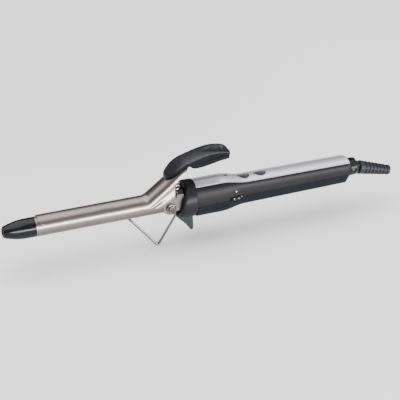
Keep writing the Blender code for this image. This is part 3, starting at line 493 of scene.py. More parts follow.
# %% Finish the nodes that stay
kept = {
    "heater_core": fired_ceramic, "temperature_probe": fired_ceramic, "heater_shoe_upper": milled_aluminium,
    "heater_shoe_lower": milled_aluminium, "barrel_insulator": brown_phenolic, "pivot_bracket": titanium_sheet,
    "circuit_board": board_lacquer, "triac": inner_black, "triac_heat_sink": milled_aluminium,
    "capacitor": shrink_blue, "potentiometer": inner_black, "on_switch": inner_black,
    "off_switch": inner_black, "indicator_led": signal_red, "dial_axle": plated_steel,
    "heater_lead_left": sleeve_braid, "heater_lead_right": sleeve_braid, "supply_lead_left": sleeve_braid,
    "supply_lead_right": sleeve_braid, "contact_ring_front": bright_brass, "contact_ring_rear": bright_brass,
    "contact_spring_left": bright_brass, "contact_spring_right": bright_brass, "swivel_pin": screw_steel,
    "lever_rivet_front": plated_steel, "lever_rivet_rear": plated_steel,
    "case_screw_1": screw_steel, "case_screw_2": screw_steel, "case_screw_3": screw_steel,
}
for node, finish in kept.items():
    nodes[node].data.materials.clear()
    nodes[node].data.materials.append(finish)
print(len(kept), "nodes keep their shape")

# %% [markdown]
# ## Barrel and cool tip
# The barrel is a plain drawn tube, so it is turned from a profile with a tiny rounding at its
# front. The cool tip is a glossy moulding: a straight part as wide as the barrel, then a curve that
# drops faster and faster to a small flat nose. The square of the distance gives that curve.

# %% Barrel
barrel_rear = barrel_high.x
barrel_wall = 1.0
inner_r = barrel_r - barrel_wall
profile = [(barrel_front, inner_r), (barrel_front, barrel_r - 0.15), (barrel_front + 0.15, barrel_r)]
profile += [(barrel_front + (barrel_rear - barrel_front) * i / 12, barrel_r) for i in range(1, 12)]
profile += [(barrel_rear, barrel_r), (barrel_rear, inner_r)]
make_piece("barrel", spun(profile, 128, closed=True), titanium_barrel, "handle", ["barrel_tube"])

# %% Cool tip
shoulder = limits("cool_tip")[1].x - 9.0
tip_straight = 7.0
tip_curve = 0.0084
nose_round = 1.2
bend = shoulder - tip_straight
run = bend - tip_end - nose_round
nose_r = barrel_r - tip_curve * run * run
profile = [(shoulder + 9.0, inner_r - 0.3), (shoulder, inner_r - 0.3), (shoulder, barrel_r - 0.35)]
profile += [(shoulder - 0.35 * math.sin(a), barrel_r - 0.35 + 0.35 * (1 - math.cos(a)))
            for a in (math.pi / 6, math.pi / 3, math.pi / 2)]
for i in range(33):
    s = run * i / 32
    profile.append((bend - s, barrel_r - tip_curve * s * s))
profile += [(bend - run - a, nose_r - b) for a, b in
            [(nose_round * math.sin(t), nose_round * (1 - math.cos(t)))
             for t in [math.radians(15 * k) for k in range(2, 7)]]]
profile += [(tip_end, nose_r * 0.74), (tip_end + 0.2, nose_r * 0.70), (tip_end + 1.8, nose_r * 0.66), (tip_end + 1.8, 0.3)]
make_piece("cool_tip_moulding", spun(profile, 128), tip_black, "handle", ["cool_tip"])

# %% [markdown]
# ## Clamp
# The clamp is one pressed sheet: a spoon that hugs the barrel, an upstand that carries the lever,
# two cheeks that drop to the pivot and a tongue hidden in the lever. The sheet is draped from a
# grid over its section, thickened, and the side outline with its round ears is then cut through
# both cheeks with one prism, as the press tool does.

# %% Clamp sheet
sheet_t = 0.9
spoon_r = barrel_r + 0.3 + sheet_t
spoon_half_arc = 62.0
ear_r = 7.4
ear_y = 11.8 + sheet_t
tongue_x = 21.0
crest_points = [(-26.0, spoon_r), (-23.5, spoon_r + 0.05), (-21.5, spoon_r + 0.5), (-19.5, spoon_r + 1.5),
                (-2.0, 25.4), (1.0, 27.9), (7.0, 32.1), (14.0, 36.0),
                (tongue_x, 38.4)]
spoon_edge = spoon_r * math.cos(math.radians(spoon_half_arc))


def clamp_section(x, inset):
    """Half of the sheet's section as (y, z) points, from its crest down to its foot."""
    top = flow(crest_points, x)
    slope = flow(crest_points, x + 0.5) - flow(crest_points, x - 0.5)
    drop = inset * math.sqrt(1 + slope * slope) - inset
    centre = top - spoon_r
    radius = spoon_r - inset
    nose = min(1.0, max(0.0, (x - spoon_front) / 8.0))
    reach = 0.42 + 0.58 * math.sqrt(1 - (1 - nose) ** 2)
    reach *= step(x, -60.0, -48.0, spoon_half_arc + 3, 90.0)
    square = step(x, 0.0, 16.0, 1.0, 0.62)
    half = [(radius * math.sin(a) ** square, centre - drop + radius * max(0.0, math.cos(a)) ** square)
            for a in [math.radians(reach * i / 24) for i in range(25)]]
    if x < -50.0:
        side, end = half[-1]
        return half + [(side, end - 0.02 * i) for i in range(1, 8)]
    spread = step(x, -27.0, -ear_r - 1, 0.0, ear_y - spoon_r)
    knee = line([(-50.0, -1.2), (-27.0, -1.2), (-14.0, 1.5), (-8.0, 4.0), (0.0, 7.0), (5.0, 11.0), (7.0, 13.0)], x)
    half += [(radius + spread * t * t * (3 - 2 * t), centre + (knee - centre) * t)
             for t in [i / 6 for i in range(1, 7)]]
    foot = knee + (-9.0 - knee) * step(x, -50.0, -42.0, 0.02, 1.0)
    return half + [(radius + spread, foot)]


clamp_stations = [spoon_front + 8.0 * (1 - math.cos(math.pi / 2 * i / 10)) for i in range(11)]
clamp_stations += [-95.0, -70.0, -60.0, -54.0, -48.0, -42.0, -36.0]
clamp_stations += [-30.0 + 51.0 * i / 60 for i in range(61)]


def clamp_layer(inset):
    def where(u, v):
        spot = u * (len(clamp_stations) - 1)
        i = min(int(spot), len(clamp_stations) - 2)
        x = clamp_stations[i] + (clamp_stations[i + 1] - clamp_stations[i]) * (spot - i)
        side = 1 if v > 0.5 else -1
        chain = clamp_section(x, inset)
        y, z = chain[round(abs(v - 0.5) * 2 * (len(chain) - 1))]
        return Vector((x, side * y, z))
    return draped_grid(len(clamp_stations) - 1, 62, where)


def thick_sheet(outer, inner):
    """Joins two equal sheets along their rims into one closed wall."""
    mesh = bpy.data.meshes.new("layer")
    inner.to_mesh(mesh)
    inner.free()
    outer.from_mesh(mesh)
    rim = [e for e in outer.edges if e.is_boundary]
    bmesh.ops.bridge_loops(outer, edges=rim)
    return outer


sheet = thick_sheet(clamp_layer(0.0), clamp_layer(sheet_t))

# %% [markdown]
# The outline of a cheek, seen from the side, runs along the spoon's edge, round the ear and up the
# rear edge with its narrow waist.

# %% Cut the cheeks and the pivot holes
outline = [(spoon_front - 10, -30), (spoon_front - 10, spoon_edge), (-32.0, spoon_edge)]
outline += [(x, step(x, -32.0, -ear_r, spoon_edge, 1.2)) for x in range(-30, -8, 2)]
outline += arc((0, 0), ear_r, 170, 378, 40)
rear_edge = [(7.0, 2.4), (5.7, 6.6), (4.6, 11.0), (4.5, 15.4), (5.6, 20.0), (9.4, 26.0), (16.6, 33.0), (19.6, 36.6)]
outline += [(flow([(z, x) for x, z in rear_edge], z), z) for z in [3.4 + 33.2 * i / 20 for i in range(21)]]
outline += [(30.0, 37.0), (30.0, -30)]
hole = aim(spun([(0, 2.3), (40, 2.3)], 40), (0, -20, 0), (0, 1, 0))
spoon = combine(sheet, [prism(outline, -30, 30, 'Y'), hole])
clamp = make_piece("clamp_sheet", spoon, titanium_sheet, "clamp", ["clamp_spoon"], sharp=40)
soften(clamp, 0.18, 2, 50)
print("clamp has", len(clamp.data.vertices), "vertices")

# %% [markdown]
# The tongue is a flat strip that runs back under the lever's cover and takes its two rivets.

# %% Tongue
tongue_end = 50.0
tongue_half_w = 6.5


def web_top(x):
    return line([(14.0, 36.2), (tongue_x, 38.6), (tongue_end, 42.4)], x)


strip = draped_grid(24, 1, lambda u, v: Vector((18.6 + (tongue_end - 18.6) * u, tongue_half_w * (2 * v - 1),
                                                web_top(18.6 + (tongue_end - 18.6) * u) - sheet_t - 0.1)))
grown = bmesh.ops.extrude_face_region(strip, geom=list(strip.faces))
raised = [v for v in grown["geom"] if isinstance(v, bmesh.types.BMVert)]
bmesh.ops.translate(strip, vec=(0, 0, sheet_t), verts=raised)
make_piece("clamp_tongue", strip, titanium_sheet, "clamp")

# %% [markdown]
# ## Lever
# The thumb lever is a long moulding that swells over the clamp's upstand. Its top is gently
# crowned, a fine crease separates it from the sides, and near the end a scoop gives the thumb a
# hold. The cover is one closed skin draped round a section that changes along the lever.

# %% Lever cover
lever_low, lever_high = limits("lever_cover")
lever_start, lever_end = lever_low.x, lever_high.x
lever_half_w = lever_high.y
lever_top = [(-2.0, 27.2), (-0.9, 29.4), (2.0, 32.2), (8.0, 37.2), (15.0, 41.0), (25.0, 44.0), (32.5, 46.0),
             (40.0, 47.4), (46.0, 47.9), (52.0, 47.5), (57.0, 46.6), (lever_end, 45.2)]
lever_width = [(lever_start, 1.8), (lever_start + 0.5, 4.4), (lever_start + 1.6, 6.2), (2.0, 7.7), (6.0, 9.3),
               (11.0, lever_half_w), (lever_end - 6, lever_half_w), (lever_end - 2.0, 9.6),
               (lever_end - 0.6, 8.8), (lever_end, 7.6)]


def crest_under(x):
    """Where the cover meets the clamp sheet."""
    return line([(lever_start, 25.6), (1.0, 28.4), (7.0, 32.6), (14.0, 36.5), (tongue_x, 38.9), (tongue_end, 42.7), (lever_end, 42.7)], x)


def scoop(x, y):
    """Depth of the thumb scoop, a hollow that widens towards the lever's end and fades out just before it."""
    along = step(x, 35.0, 50.0, 0.0, 1.0) * (1 - step(x, lever_end - 5.5, lever_end - 1.5, 0.0, 1.0))
    width = 2.4 + 5.2 * step(x, 35.0, 54.0, 0.0, 1.0)
    across = max(0.0, 1 - (y / width) ** 2)
    return 2.8 * along * across ** 1.3


def lever_ring(x):
    """The cover's section as a closed chain of (y, z) points, starting at its lowest right edge."""
    half = flow(lever_width, x)
    low = crest_under(x)
    high = max(flow(lever_top, x), low + 1.0)
    round_r = min(1.0, (high - low) * 0.34)
    crease = high - round_r - min(0.9, (high - low) * 0.2)
    notch = min(0.35, half * 0.06)
    right = [(half - 0.25, low), (half, low + 0.3), (half, crease - 0.25), (half - notch, crease - 0.1),
             (half - notch, crease + 0.1), (half - 0.02, crease + 0.25)]
    right += arc((half - round_r, high - round_r), round_r, 8, 82, 7)
    top = [(half - round_r) * (1 - i / 12) for i in range(1, 12)]
    crown = 0.5 * min(1.0, half / lever_half_w)
    right += [(y, high + crown * (1 - (y / half) ** 2) - scoop(x, y)) for y in top]
    middle = [(0.0, high + crown - scoop(x, 0.0))]
    return right + middle + [(-y, z) for y, z in reversed(right)]


def smooth_ends(u):
    """Bunches the stations towards both ends."""
    return 0.5 - 0.5 * math.cos(math.pi * u)


def lever_skin(u, v, ring=lever_ring, start=lever_start, end=lever_end, count=49):
    x = start + (end - start) * (0.55 * smooth_ends(u) + 0.45 * u)
    chain = ring(x)
    spot = v * count
    i = int(round(spot)) % len(chain)
    return Vector((x, *chain[i]))


ring_size = len(lever_ring(20.0))
cover = draped_grid(96, ring_size, lambda u, v: lever_skin(u, v, count=ring_size), closed=True)
rivet_holes = [aim(spun([(0, 1.8), (10.7, 1.8)], 24), (x, 0, web_top(x) - 8), (0, 0, 1)) for x in (28.0, 44.0)]
grip = make_piece("lever_grip", combine(cover, rivet_holes), lever_black, "clamp",
                  ["lever_cover"], sharp=30)
# Faces that point sideways or down take the darker copy: painted shade on the lever's sides and underside.
grip.data.materials.append(lever_shaded_under)
for face in grip.data.polygons:
    face.material_index = 1 if face.normal.z < 0.35 else 0

# %% [markdown]
# Under the cover a second moulding closes the lever and hides the tongue. It starts behind the
# upstand with a blunt nose and tapers towards the end.

# %% Lever base
base_start = limits("lever_base")[0].x
base_under = [(base_start, 36.6), (22.6, 35.1), (24.5, 34.2), (27.0, 33.8), (29.5, 33.8), (38.0, 34.9),
              (50.7, 37.4), (lever_end - 1.0, 38.4)]


def base_ring(x):
    half = flow([(base_start, 6.4), (22.6, 8.2), (26.0, 9.3), (lever_end - 6, 9.5), (lever_end - 1.0, 8.8)], x)
    low = flow(base_under, x)
    high = crest_under(x) - 0.45
    round_r = min(1.8, (high - low) * 0.45)
    right = [(half, high)] + arc((half - round_r, low + round_r), round_r, 0, -90, 9)
    return right + [(0.0, low)] + [(-y, z) for y, z in reversed(right)]


base_size = len(base_ring(30.0))
base = draped_grid(60, base_size,
                   lambda u, v: lever_skin(u, v, base_ring, base_start, lever_end - 1.0, base_size), closed=True)
room = draped_grid(24, 4, lambda u, v: Vector((
    15 + (tongue_end + 0.4 - 15) * u, 6.8 * (1 if v in (0.0, 0.25, 1.0) else -1),
    web_top(15 + (tongue_end + 0.4 - 15) * u) + (-1.3 if v in (0.25, 0.5) else 1.4))), closed=True)
rivets = []
for x, node in ((28.0, "lever_rivet_front"), (44.0, "lever_rivet_rear")):
    under = limits(node)[0].z
    rivets.append(aim(spun([(0, 2.9), (under + 1.9 - 30, 2.9), (under + 1.9 - 30, 1.8), (14, 1.8)], 24),
                      (x, 0, 30), (0, 0, 1)))
# The lever's base takes the darker copy too: painted shade under the lever.
make_piece("lever_shaded_under", combine(base, [room, *rivets]), lever_shaded_under, "clamp", ["lever_base"],
           sharp=30)

# %% [markdown]
# ## Handle
# The handle is thick behind the collar, steps down at a waist under the thumbwheel and runs slim
# and almost straight to the cord. Two shells meet at a parting line low on the side, and a silver
# panel lies in a seat along the top. The same size functions drive all three, so they meet.

# %% Sizes of the handle
front_half_w, front_edge_z, front_bottom_z = 16.0, 14.2, -15.7
grip_half_w, grip_edge_z, grip_bottom_z = 12.8, (10.5, 9.6), (-12.0, -10.4)
waist_start, waist_end = 54.0, 80.0
end_slope_start = 181.5
panel_half_w, panel_crown, panel_t = 9.4, 2.6, 1.2
bottom_half_w = 9.0
handle_wall = 1.8
gap = 0.3


def handle_size(x):
    """Half width, parting height, panel edge height and bottom height."""
    share = min(max((x - waist_end) / (handle_end - waist_end), 0.0), 1.0)
    half = step(x, waist_start, waist_end, front_half_w, grip_half_w)
    edge = step(x, waist_start, waist_end, front_edge_z, grip_edge_z[0] + (grip_edge_z[1] - grip_edge_z[0]) * share)
    bottom = step(x, waist_start - 2, waist_end - 4, front_bottom_z,
                  grip_bottom_z[0] + (grip_bottom_z[1] - grip_bottom_z[0]) * share)
    parting = flow([(26.0, -3.4), (waist_end, -1.8), (handle_end, -0.8)], x)
    if x > end_slope_start:
        t = (x - end_slope_start) / (handle_end - end_slope_start)
        bottom += (parting - 0.8 - bottom) * t
        half -= 1.0 * t * t
    return half, parting, edge, bottom


def flank(start, end, count):
    """Leaves the parting line upright and rolls over to the panel's edge."""
    (ya, za), (yb, zb) = start, end
    hold, roll = (ya, za + 0.60 * (zb - za)), (yb + 0.50 * (ya - yb), zb)
    chain = []
    for i in range(count):
        t = i / (count - 1)
        weights = ((1 - t) ** 3, 3 * t * (1 - t) ** 2, 3 * t * t * (1 - t), t ** 3)
        chain.append(tuple(sum(w * p[k] for w, p in zip(weights, (start, hold, roll, end))) for k in (0, 1)))
    return chain


def crown(half, edge, y):
    return edge + panel_crown * (1 - (y / half) ** 2)


def upper_chain(x):
    half, parting, edge, _ = handle_size(x)
    seat = panel_half_w + gap
    right = flank((half, parting), (seat, edge), 20)
    right += [(y, crown(seat, edge - panel_t - gap, y)) for y in [seat * (0.995 - i / 8) for i in range(8)]]
    return right + [(-y, z) for y, z in reversed(right)]


def lower_chain(x):
    half, parting, _, bottom = handle_size(x)
    right = flank((half, parting - gap), (bottom_half_w, bottom), 20) + [(4.5, bottom)]
    return right + [(-y, z) for y, z in reversed(right)]


def cavity_chain(x):
    half, parting, edge, bottom = handle_size(x)
    roof = edge - panel_t - gap - handle_wall
    inner = panel_half_w + gap - 1.0
    down = flank((half - handle_wall, parting), (bottom_half_w - 0.8, min(bottom + handle_wall, parting - 1.0)), 12)
    up = flank((half - handle_wall, parting), (inner, roof), 12)
    right = list(reversed(down[1:])) + up + [(y, crown(inner, roof, y)) for y in (inner * 0.7, inner * 0.35)]
    return right + [(-y, z) for y, z in reversed(right)]


def tube_skin(chain_at, start, end, columns):
    """A closed skin through the chains between two stations, finer at the waist and the end."""
    stations = [start + (end - start) * i / columns for i in range(columns + 1)]
    extra = [waist_start - 2 + 30 * i / 24 for i in range(25)] + [end_slope_start + 0.75 * i for i in range(6)]
    stations = sorted({round(x, 3) for x in stations + [x for x in extra if start < x < end]})
    count = len(chain_at(start))

    def where(u, v):
        x = stations[int(round(u * (len(stations) - 1)))]
        return Vector((x, *chain_at(x)[int(round(v * count)) % count]))

    return draped_grid(len(stations) - 1, count, where, closed=True)


# %% [markdown]
# A shell is its outer skin with the cavity cut out. The cutters also open the mouth for the cord's
# swivel, the well for the thumbwheel and, in the upper shell, the holes under the two buttons.

# %% Places of the controls
dial_at = joint_place("dial_turn")
dial_low, dial_high = limits("temperature_dial")
dial_r = (dial_high.x - dial_low.x) / 2
swivel_at = joint_place("guard_tilt")
rear_wall_x = 177.5
button_r, button_point = 4.9, 7.2
button_x = {name: limits(name)[1].x - button_r for name in ("on_button", "off_button")}
lamp_x = (limits("indicator_lens")[0].x + limits("indicator_lens")[1].x) / 2


def teardrop(x, grow=0.0, count=40):
    """A round with one point towards the barrel, its point a little blunted."""
    radius = button_r + grow
    point = button_point + grow * 1.3
    lean = math.degrees(math.acos(radius / point))
    return arc((x, 0), radius, 180 - lean, lean - 180, count) + [(x - point + 0.25, -0.22), (x - point + 0.25, 0.22)]


# %% Shells
def case_shell(chain_at, hatch_names):
    tools = [tube_skin(cavity_chain, handle_front - 5, rear_wall_x, 40)]
    tools.append(aim(spun([(0, 6.7), (20, 6.7)], 64), (rear_wall_x - 5, 0, swivel_at.z), (1, 0, 0)))
    well = aim(spun([(0, dial_r + 0.4), (dial_high.z - dial_low.z + 0.6, dial_r + 0.4)], 96),
               (dial_at.x, dial_at.y, dial_low.z - 0.3), (0, 0, 1))
    tools.append(well)
    for name in hatch_names:
        x = button_x[name]
        tools.append(prism(teardrop(x, 0.35), 4, 20, 'Z'))
    return combine(tube_skin(chain_at, handle_front, handle_end, 60), tools)


window_half = 6.9
window_top = dial_high.z + 1.0
window = box_between((dial_at.x - window_half, -20, dial_low.z + 0.4), (dial_at.x + window_half, -13.0, window_top))
upper = combine(case_shell(upper_chain, button_x), [window])
upper_shell = make_piece("upper_shell", upper, shell_charcoal, "handle",
                         ["handle_upper_shell"], sharp=32)
# The lower shell takes the darker copy of the plastic: painted shade on its downward-facing side.
lower = case_shell(lower_chain, [])
lower_shell = make_piece("lower_shell", lower, lower_shaded_charcoal, "handle",
                         ["handle_lower_shell"], sharp=32)
print("shells:", len(upper_shell.data.polygons), len(lower_shell.data.polygons), "faces")

# %% [markdown]
# The silver panel is a crowned strip. Its holes have rolled rims, which catch the light, so they
# are cut first and the edges are rounded afterwards with a Bevel.


# %% Silver panel
def panel_chain(x):
    edge = handle_size(x)[2]
    ys = [panel_half_w * (1 - i / 10) for i in range(21)]
    over = [(y, crown(panel_half_w, edge, y)) for y in ys]
    over = [(over[0][0] - 0.12, over[0][1] - 0.28), *over[1:-1], (over[-1][0] + 0.12, over[-1][1] - 0.28)]
    under = [(y, crown(panel_half_w, edge - panel_t, y)) for y in reversed(ys)]
    return over + under


tools = [prism(teardrop(x, 0.7), 5, 22, 'Z') for x in button_x.values()]
lamp_half = (1.7, 1.25)
lamp_hole = [(lamp_x + (lamp_half[0] + 0.2) * c, (lamp_half[1] + 0.2) * s) for c, s in arc((0, 0), 1.0, 0, 350, 36)]
tools.append(prism(lamp_hole, 5, 22, 'Z'))
panel = combine(tube_skin(panel_chain, handle_front, handle_end, 60), tools)
panel_piece = make_piece("silver_panel", panel, silver_lacquer, "handle", ["top_panel"], sharp=30)
soften(panel_piece, 0.28, 3, 50)


# %% [markdown]
# A button is a teardrop with a domed top. A flat outline is extruded, and its top face is inset three
# times and pushed up.

# %% Buttons and lamp
for name, x in button_x.items():
    top = limits(name)[1].z
    cap = prism(teardrop(x, 0.0), top - 3.4, top - 0.65, 'Z')
    lid = max(cap.faces, key=lambda f: f.calc_center_median().z)
    for inset, lift in ((0.35, 0.28), (0.9, 0.24), (1.1, 0.12)):
        bmesh.ops.inset_region(cap, faces=[lid], thickness=inset, depth=lift)
    for v in cap.verts:
        if v.co.z > top - 1.0:
            v.co.z -= panel_crown * (v.co.y / panel_half_w) ** 2 * 0.8
    make_piece(name + "_cap", cap, button_lacquer, name, [name], sharp=50)

top = limits("indicator_lens")[1].z
dome = bmesh.new()
bmesh.ops.create_uvsphere(dome, u_segments=32, v_segments=16, radius=1.0)
bmesh.ops.bisect_plane(dome, geom=list(dome.verts) + list(dome.edges) + list(dome.faces), plane_co=(0, 0, 0),
                       plane_no=(0, 0, 1), clear_inner=True)
rim = [e for e in dome.edges if e.is_boundary]
grown = bmesh.ops.extrude_edge_only(dome, edges=rim)
bmesh.ops.translate(dome, vec=(0, 0, -4.0), verts=[v for v in grown["geom"] if isinstance(v, bmesh.types.BMVert)])
bmesh.ops.holes_fill(dome, edges=[e for e in dome.edges if e.is_boundary])
bmesh.ops.scale(dome, vec=(lamp_half[0], lamp_half[1], 0.7), verts=dome.verts)
bmesh.ops.translate(dome, vec=(lamp_x, 0, top - 0.6), verts=dome.verts)
make_piece("signal_lamp", dome, signal_red, "handle", ["indicator_lens"])

# %% [markdown]
# ## Thumbwheel
# The wheel's rim carries fine grip teeth below and plain numerals above. The teeth are every second
# step of a spin pulled in. The numerals are text turned into mesh, then wrapped round the rim by
# taking each point's sideways place as an angle.

# %% Wheel
tooth_count = 60
wheel_low, wheel_high = dial_low.z, dial_high.z
tooth_top = wheel_low + 1.5
profile = [(wheel_low, 1.8), (wheel_low, dial_r - 0.5), (wheel_low + 0.25, dial_r - 0.1),
           (wheel_low + 0.5, dial_r), (tooth_top, dial_r), (tooth_top + 0.2, dial_r - 0.35),
           (wheel_high - 0.4, dial_r - 0.35), (wheel_high, dial_r - 0.7), (wheel_high, 1.8)]
wheel = spun(profile, tooth_count * 4, closed=True)
for v in wheel.verts:
    radius = math.hypot(v.co.y, v.co.z)
    turn = math.atan2(v.co.y, v.co.z)
    if radius > dial_r - 0.3 and wheel_low + 0.2 < v.co.x < tooth_top + 0.1:
        bite = 0.32 * (0.5 - 0.5 * math.cos(turn * tooth_count))
        v.co.y *= (radius - bite) / radius
        v.co.z *= (radius - bite) / radius
aim(wheel, (dial_at.x, dial_at.y, 0), (0, 0, 1))
make_piece("thumbwheel", wheel, dial_black, "dial", ["temperature_dial"], sharp=40)


def numeral(text, turn, height):
    """One numeral as a thin raised mesh, wrapped on the wheel's rim at an angle in degrees."""
    curve = bpy.data.curves.new("numeral", 'FONT')
    curve.body = text
    curve.align_x = 'CENTER'
    curve.size = height
    curve.extrude = 0.06
    obj = bpy.data.objects.new("numeral", curve)
    bpy.context.scene.collection.objects.link(obj)
    graph = bpy.context.evaluated_depsgraph_get()
    bm = bmesh.new()
    bm.from_mesh(obj.evaluated_get(graph).to_mesh())
    bpy.data.objects.remove(obj)
    bpy.data.curves.remove(curve)
    base = dial_r - 0.35
    for v in bm.verts:
        angle = math.radians(turn) + v.co.x / base
        radius = base + v.co.z
        v.co = Vector((dial_at.x + radius * math.sin(angle), dial_at.y - radius * math.cos(angle),
                       tooth_top + 0.45 + v.co.y))
    return bm


marks = bmesh.new()
for index in range(10):
    one = numeral(str(index + 1), -117 + 26 * index, 1.9)
    work = bpy.data.meshes.new("work")
    one.to_mesh(work)
    one.free()
    marks.from_mesh(work)
    bpy.data.meshes.remove(work)
make_piece("wheel_numerals", marks, mark_white, "dial")


# %% [markdown]
# A small printed arrow above the window points at the numeral in use. It is a triangle laid on the
# flank: each corner's height gives its sideways place.

# %% Arrow
def flank_y(x, z):
    """Sideways place of the handle's near flank at a height."""
    chain = upper_chain(x)[:20]
    for (ya, za), (yb, zb) in zip(chain, chain[1:]):
        if za <= z <= zb:
            return -(ya + (yb - ya) * (z - za) / (zb - za))
    return -chain[-1][0]


def arrow_point(u, v):
    z = 3.9 + 1.3 * v
    x = dial_at.x + (u - 0.5) * 1.5 * v
    return Vector((x, flank_y(x, z) - 0.04, z))


arrow = draped_grid(4, 4, arrow_point)
bmesh.ops.remove_doubles(arrow, verts=arrow.verts, dist=0.0005)
grown = bmesh.ops.extrude_face_region(arrow, geom=list(arrow.faces))
sunk = [v for v in grown["geom"] if isinstance(v, bmesh.types.BMVert)]
bmesh.ops.translate(arrow, vec=(0, 0.1, 0), verts=sunk)
make_piece("arrow_mark", arrow, mark_white, "handle")

# %% [markdown]
# ## Collar and fin
# The collar is a soft-looking ring that caps the handle. Seen from the side it isn't a plain ring:
# its front edge leans back at the top, and its rear edge reaches over the panel. A turned ring
# whose points slide along X by their height gives that.

# %% Collar
collar_low, collar_high = limits("collar")
collar_r = collar_high.z
collar_rear = collar_high.x
bore = barrel_r + 0.3
front_round, rear_round = 3.2, 1.6
front_x, rear_x = 14.2, collar_rear + 0.1
profile = [(front_x + 1.6, bore), (front_x + 1.6, collar_r - 5.4), (front_x + 0.4, collar_r - 4.2)]
profile += arc((front_x + front_round, collar_r - front_round), front_round, 180, 90, 12)
profile += arc((rear_x - rear_round, collar_r - rear_round), rear_round, 90, 10, 8)
profile += [(rear_x, collar_r - 2.2), (front_x + 4.6, collar_r - 2.2), (front_x + 4.6, bore)]


def collar_slide(x, y, z):
    """How far a point of the collar moves along X."""
    turn = math.atan2(abs(y), z)
    lift = math.cos(turn)
    front = 5.9 * max(lift, 0.0) ** 1.6 - 3.2 * max(-lift, 0.0) - 3.2
    rear = 1.3 * max(lift, 0.0) ** 2
    share = (x - front_x) / (rear_x - front_x)
    return front * (1 - share) + rear * share


ring = spun(profile, 144, closed=True)
for v in ring.verts:
    if math.hypot(v.co.y, v.co.z) > bore + 0.1:
        v.co.x += collar_slide(*v.co)
notches = [box_between((front_x - 6, side * 9.6 if side > 0 else -12.2, -5.4),
                       (front_x + 7, side * 9.6 if side < 0 else 12.2, 5.4)) for side in (1, -1)]
ring = combine(ring, notches)
make_piece("collar_ring", ring, collar_charcoal, "handle", ["collar"], sharp=40)

# %% [markdown]
# The fin under the collar shields the fingers from the barrel. Its outline is a bird's beak; the
# plate is extruded and all its edges are rounded.

# %% Fin
beak = [(7.6, -11.0), (8.2, -13.6), (9.6, -16.6), (12.0, -19.9), (15.2, -23.0), (18.4, -26.4), (21.0, -30.2),
        (22.6, -32.6)]
beak += arc((24.3, -31.9), 1.7, 205, 350, 8)
beak += [(25.9, -28.0), (25.7, -22.0), (25.5, -17.6), (14.0, -17.6), (13.8, -11.0)]
fin = make_piece("finger_fin", prism(beak, -3.0, 3.0, 'Y'), fin_slate, "handle", ["collar_fin"], sharp=40)
soften(fin, 0.9, 4, 30)

# %% [markdown]
# ## Pivot, spring and stand
# The screw heads are cheese heads with a rolled edge and a cross recess. The spring is a real coil:
# a curve with a round bevel.

# %% Pivot screws
for node, side in (("pivot_screw_near", -1), ("pivot_screw_far", 1)):
    low, high = limits(node)
    face_y = low.y if side < 0 else high.y
    shank_y = high.y if side < 0 else low.y
    head_r, head_t, shank_r = high.z, 1.4, 2.0
    length = abs(shank_y - face_y)
    profile = [(0.0, 0.6), (0.0, head_r - 0.75), (0.10, head_r - 0.35), (0.3, head_r - 0.1), (0.6, head_r),
               (head_t, head_r), (head_t, shank_r), (length, shank_r)]
    screw = aim(spun(profile, 64), (0, face_y, 0), (0, -side, 0))
    recess = []
    for turn in (38, 128):
        bar = box_between((-2.1, -0.8, -0.42), (2.1, 0.8, 0.42))
        bmesh.ops.rotate(bar, cent=(0, 0, 0), matrix=Matrix.Rotation(math.radians(turn), 3, 'Y'), verts=bar.verts)
        bmesh.ops.translate(bar, vec=(0, face_y, 0), verts=bar.verts)
        recess.append(bar)
    obj = make_piece(node + "_head", combine(screw, recess), screw_steel, "handle", [node], sharp=35)
    soften(obj, 0.1, 2, 50)


# %% Wires
def wire_piece(name, points, radius, finish, body, stands_for, sides=6):
    """A round wire through points, with closed ends, as a mesh."""
    curve = bpy.data.curves.new(name, 'CURVE')
    curve.dimensions = '3D'
    curve.bevel_depth = radius
    curve.bevel_resolution = sides
    curve.use_fill_caps = True
    spline = curve.splines.new('POLY')
    spline.points.add(len(points) - 1)
    for spot, point in zip(spline.points, points):
        spot.co = (*point, 1.0)
    obj = bpy.data.objects.new(name, curve)
    bpy.context.scene.collection.objects.link(obj)
    graph = bpy.context.evaluated_depsgraph_get()
    bm = bmesh.new()
    bm.from_mesh(obj.evaluated_get(graph).to_mesh())
    bpy.data.objects.remove(obj)
    bpy.data.curves.remove(curve)
    return make_piece(name, bm, finish, body, stands_for, sharp=50)


def rounded(route, radius, steps=12):
    """Rounds the corners of a route of points."""
    route = [Vector(p) for p in route]
    result = [route[0]]
    for before, corner, after in zip(route, route[1:], route[2:]):
        reach = min(radius, (before - corner).length * 0.48, (after - corner).length * 0.48)
        start = corner + (before - corner).normalized() * reach
        end = corner + (after - corner).normalized() * reach
        for i in range(steps + 1):
            t = i / steps
            result.append(start * (1 - t) ** 2 + corner * 2 * t * (1 - t) + end * t ** 2)
    result.append(route[-1])
    return result


spring_low, spring_high = limits("clamp_spring")
spring_x = (spring_low.x + spring_high.x) / 2
wire_half = 0.55
turns = 5.5
coil = []
for i in range(int(turns * 36) + 1):
    t = i / (turns * 36)
    climb = min(1.0, max(0.0, (t - 0.10) / 0.80))
    radius = 3.7 - 0.8 * t
    angle = math.tau * turns * t
    coil.append((spring_x + radius * math.cos(angle), radius * math.sin(angle),
                 spring_low.z + wire_half + (spring_high.z - spring_low.z - 2 * wire_half) * climb))
spring = wire_piece("return_spring", coil, wire_half, plated_steel, "handle", ["clamp_spring"])
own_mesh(spring)

# %% [markdown]
# The stand is one bent wire: an eye round the near screw, a long leg down to the foot and a shorter
# leg that comes back up under the barrel, where it stops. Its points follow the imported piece.

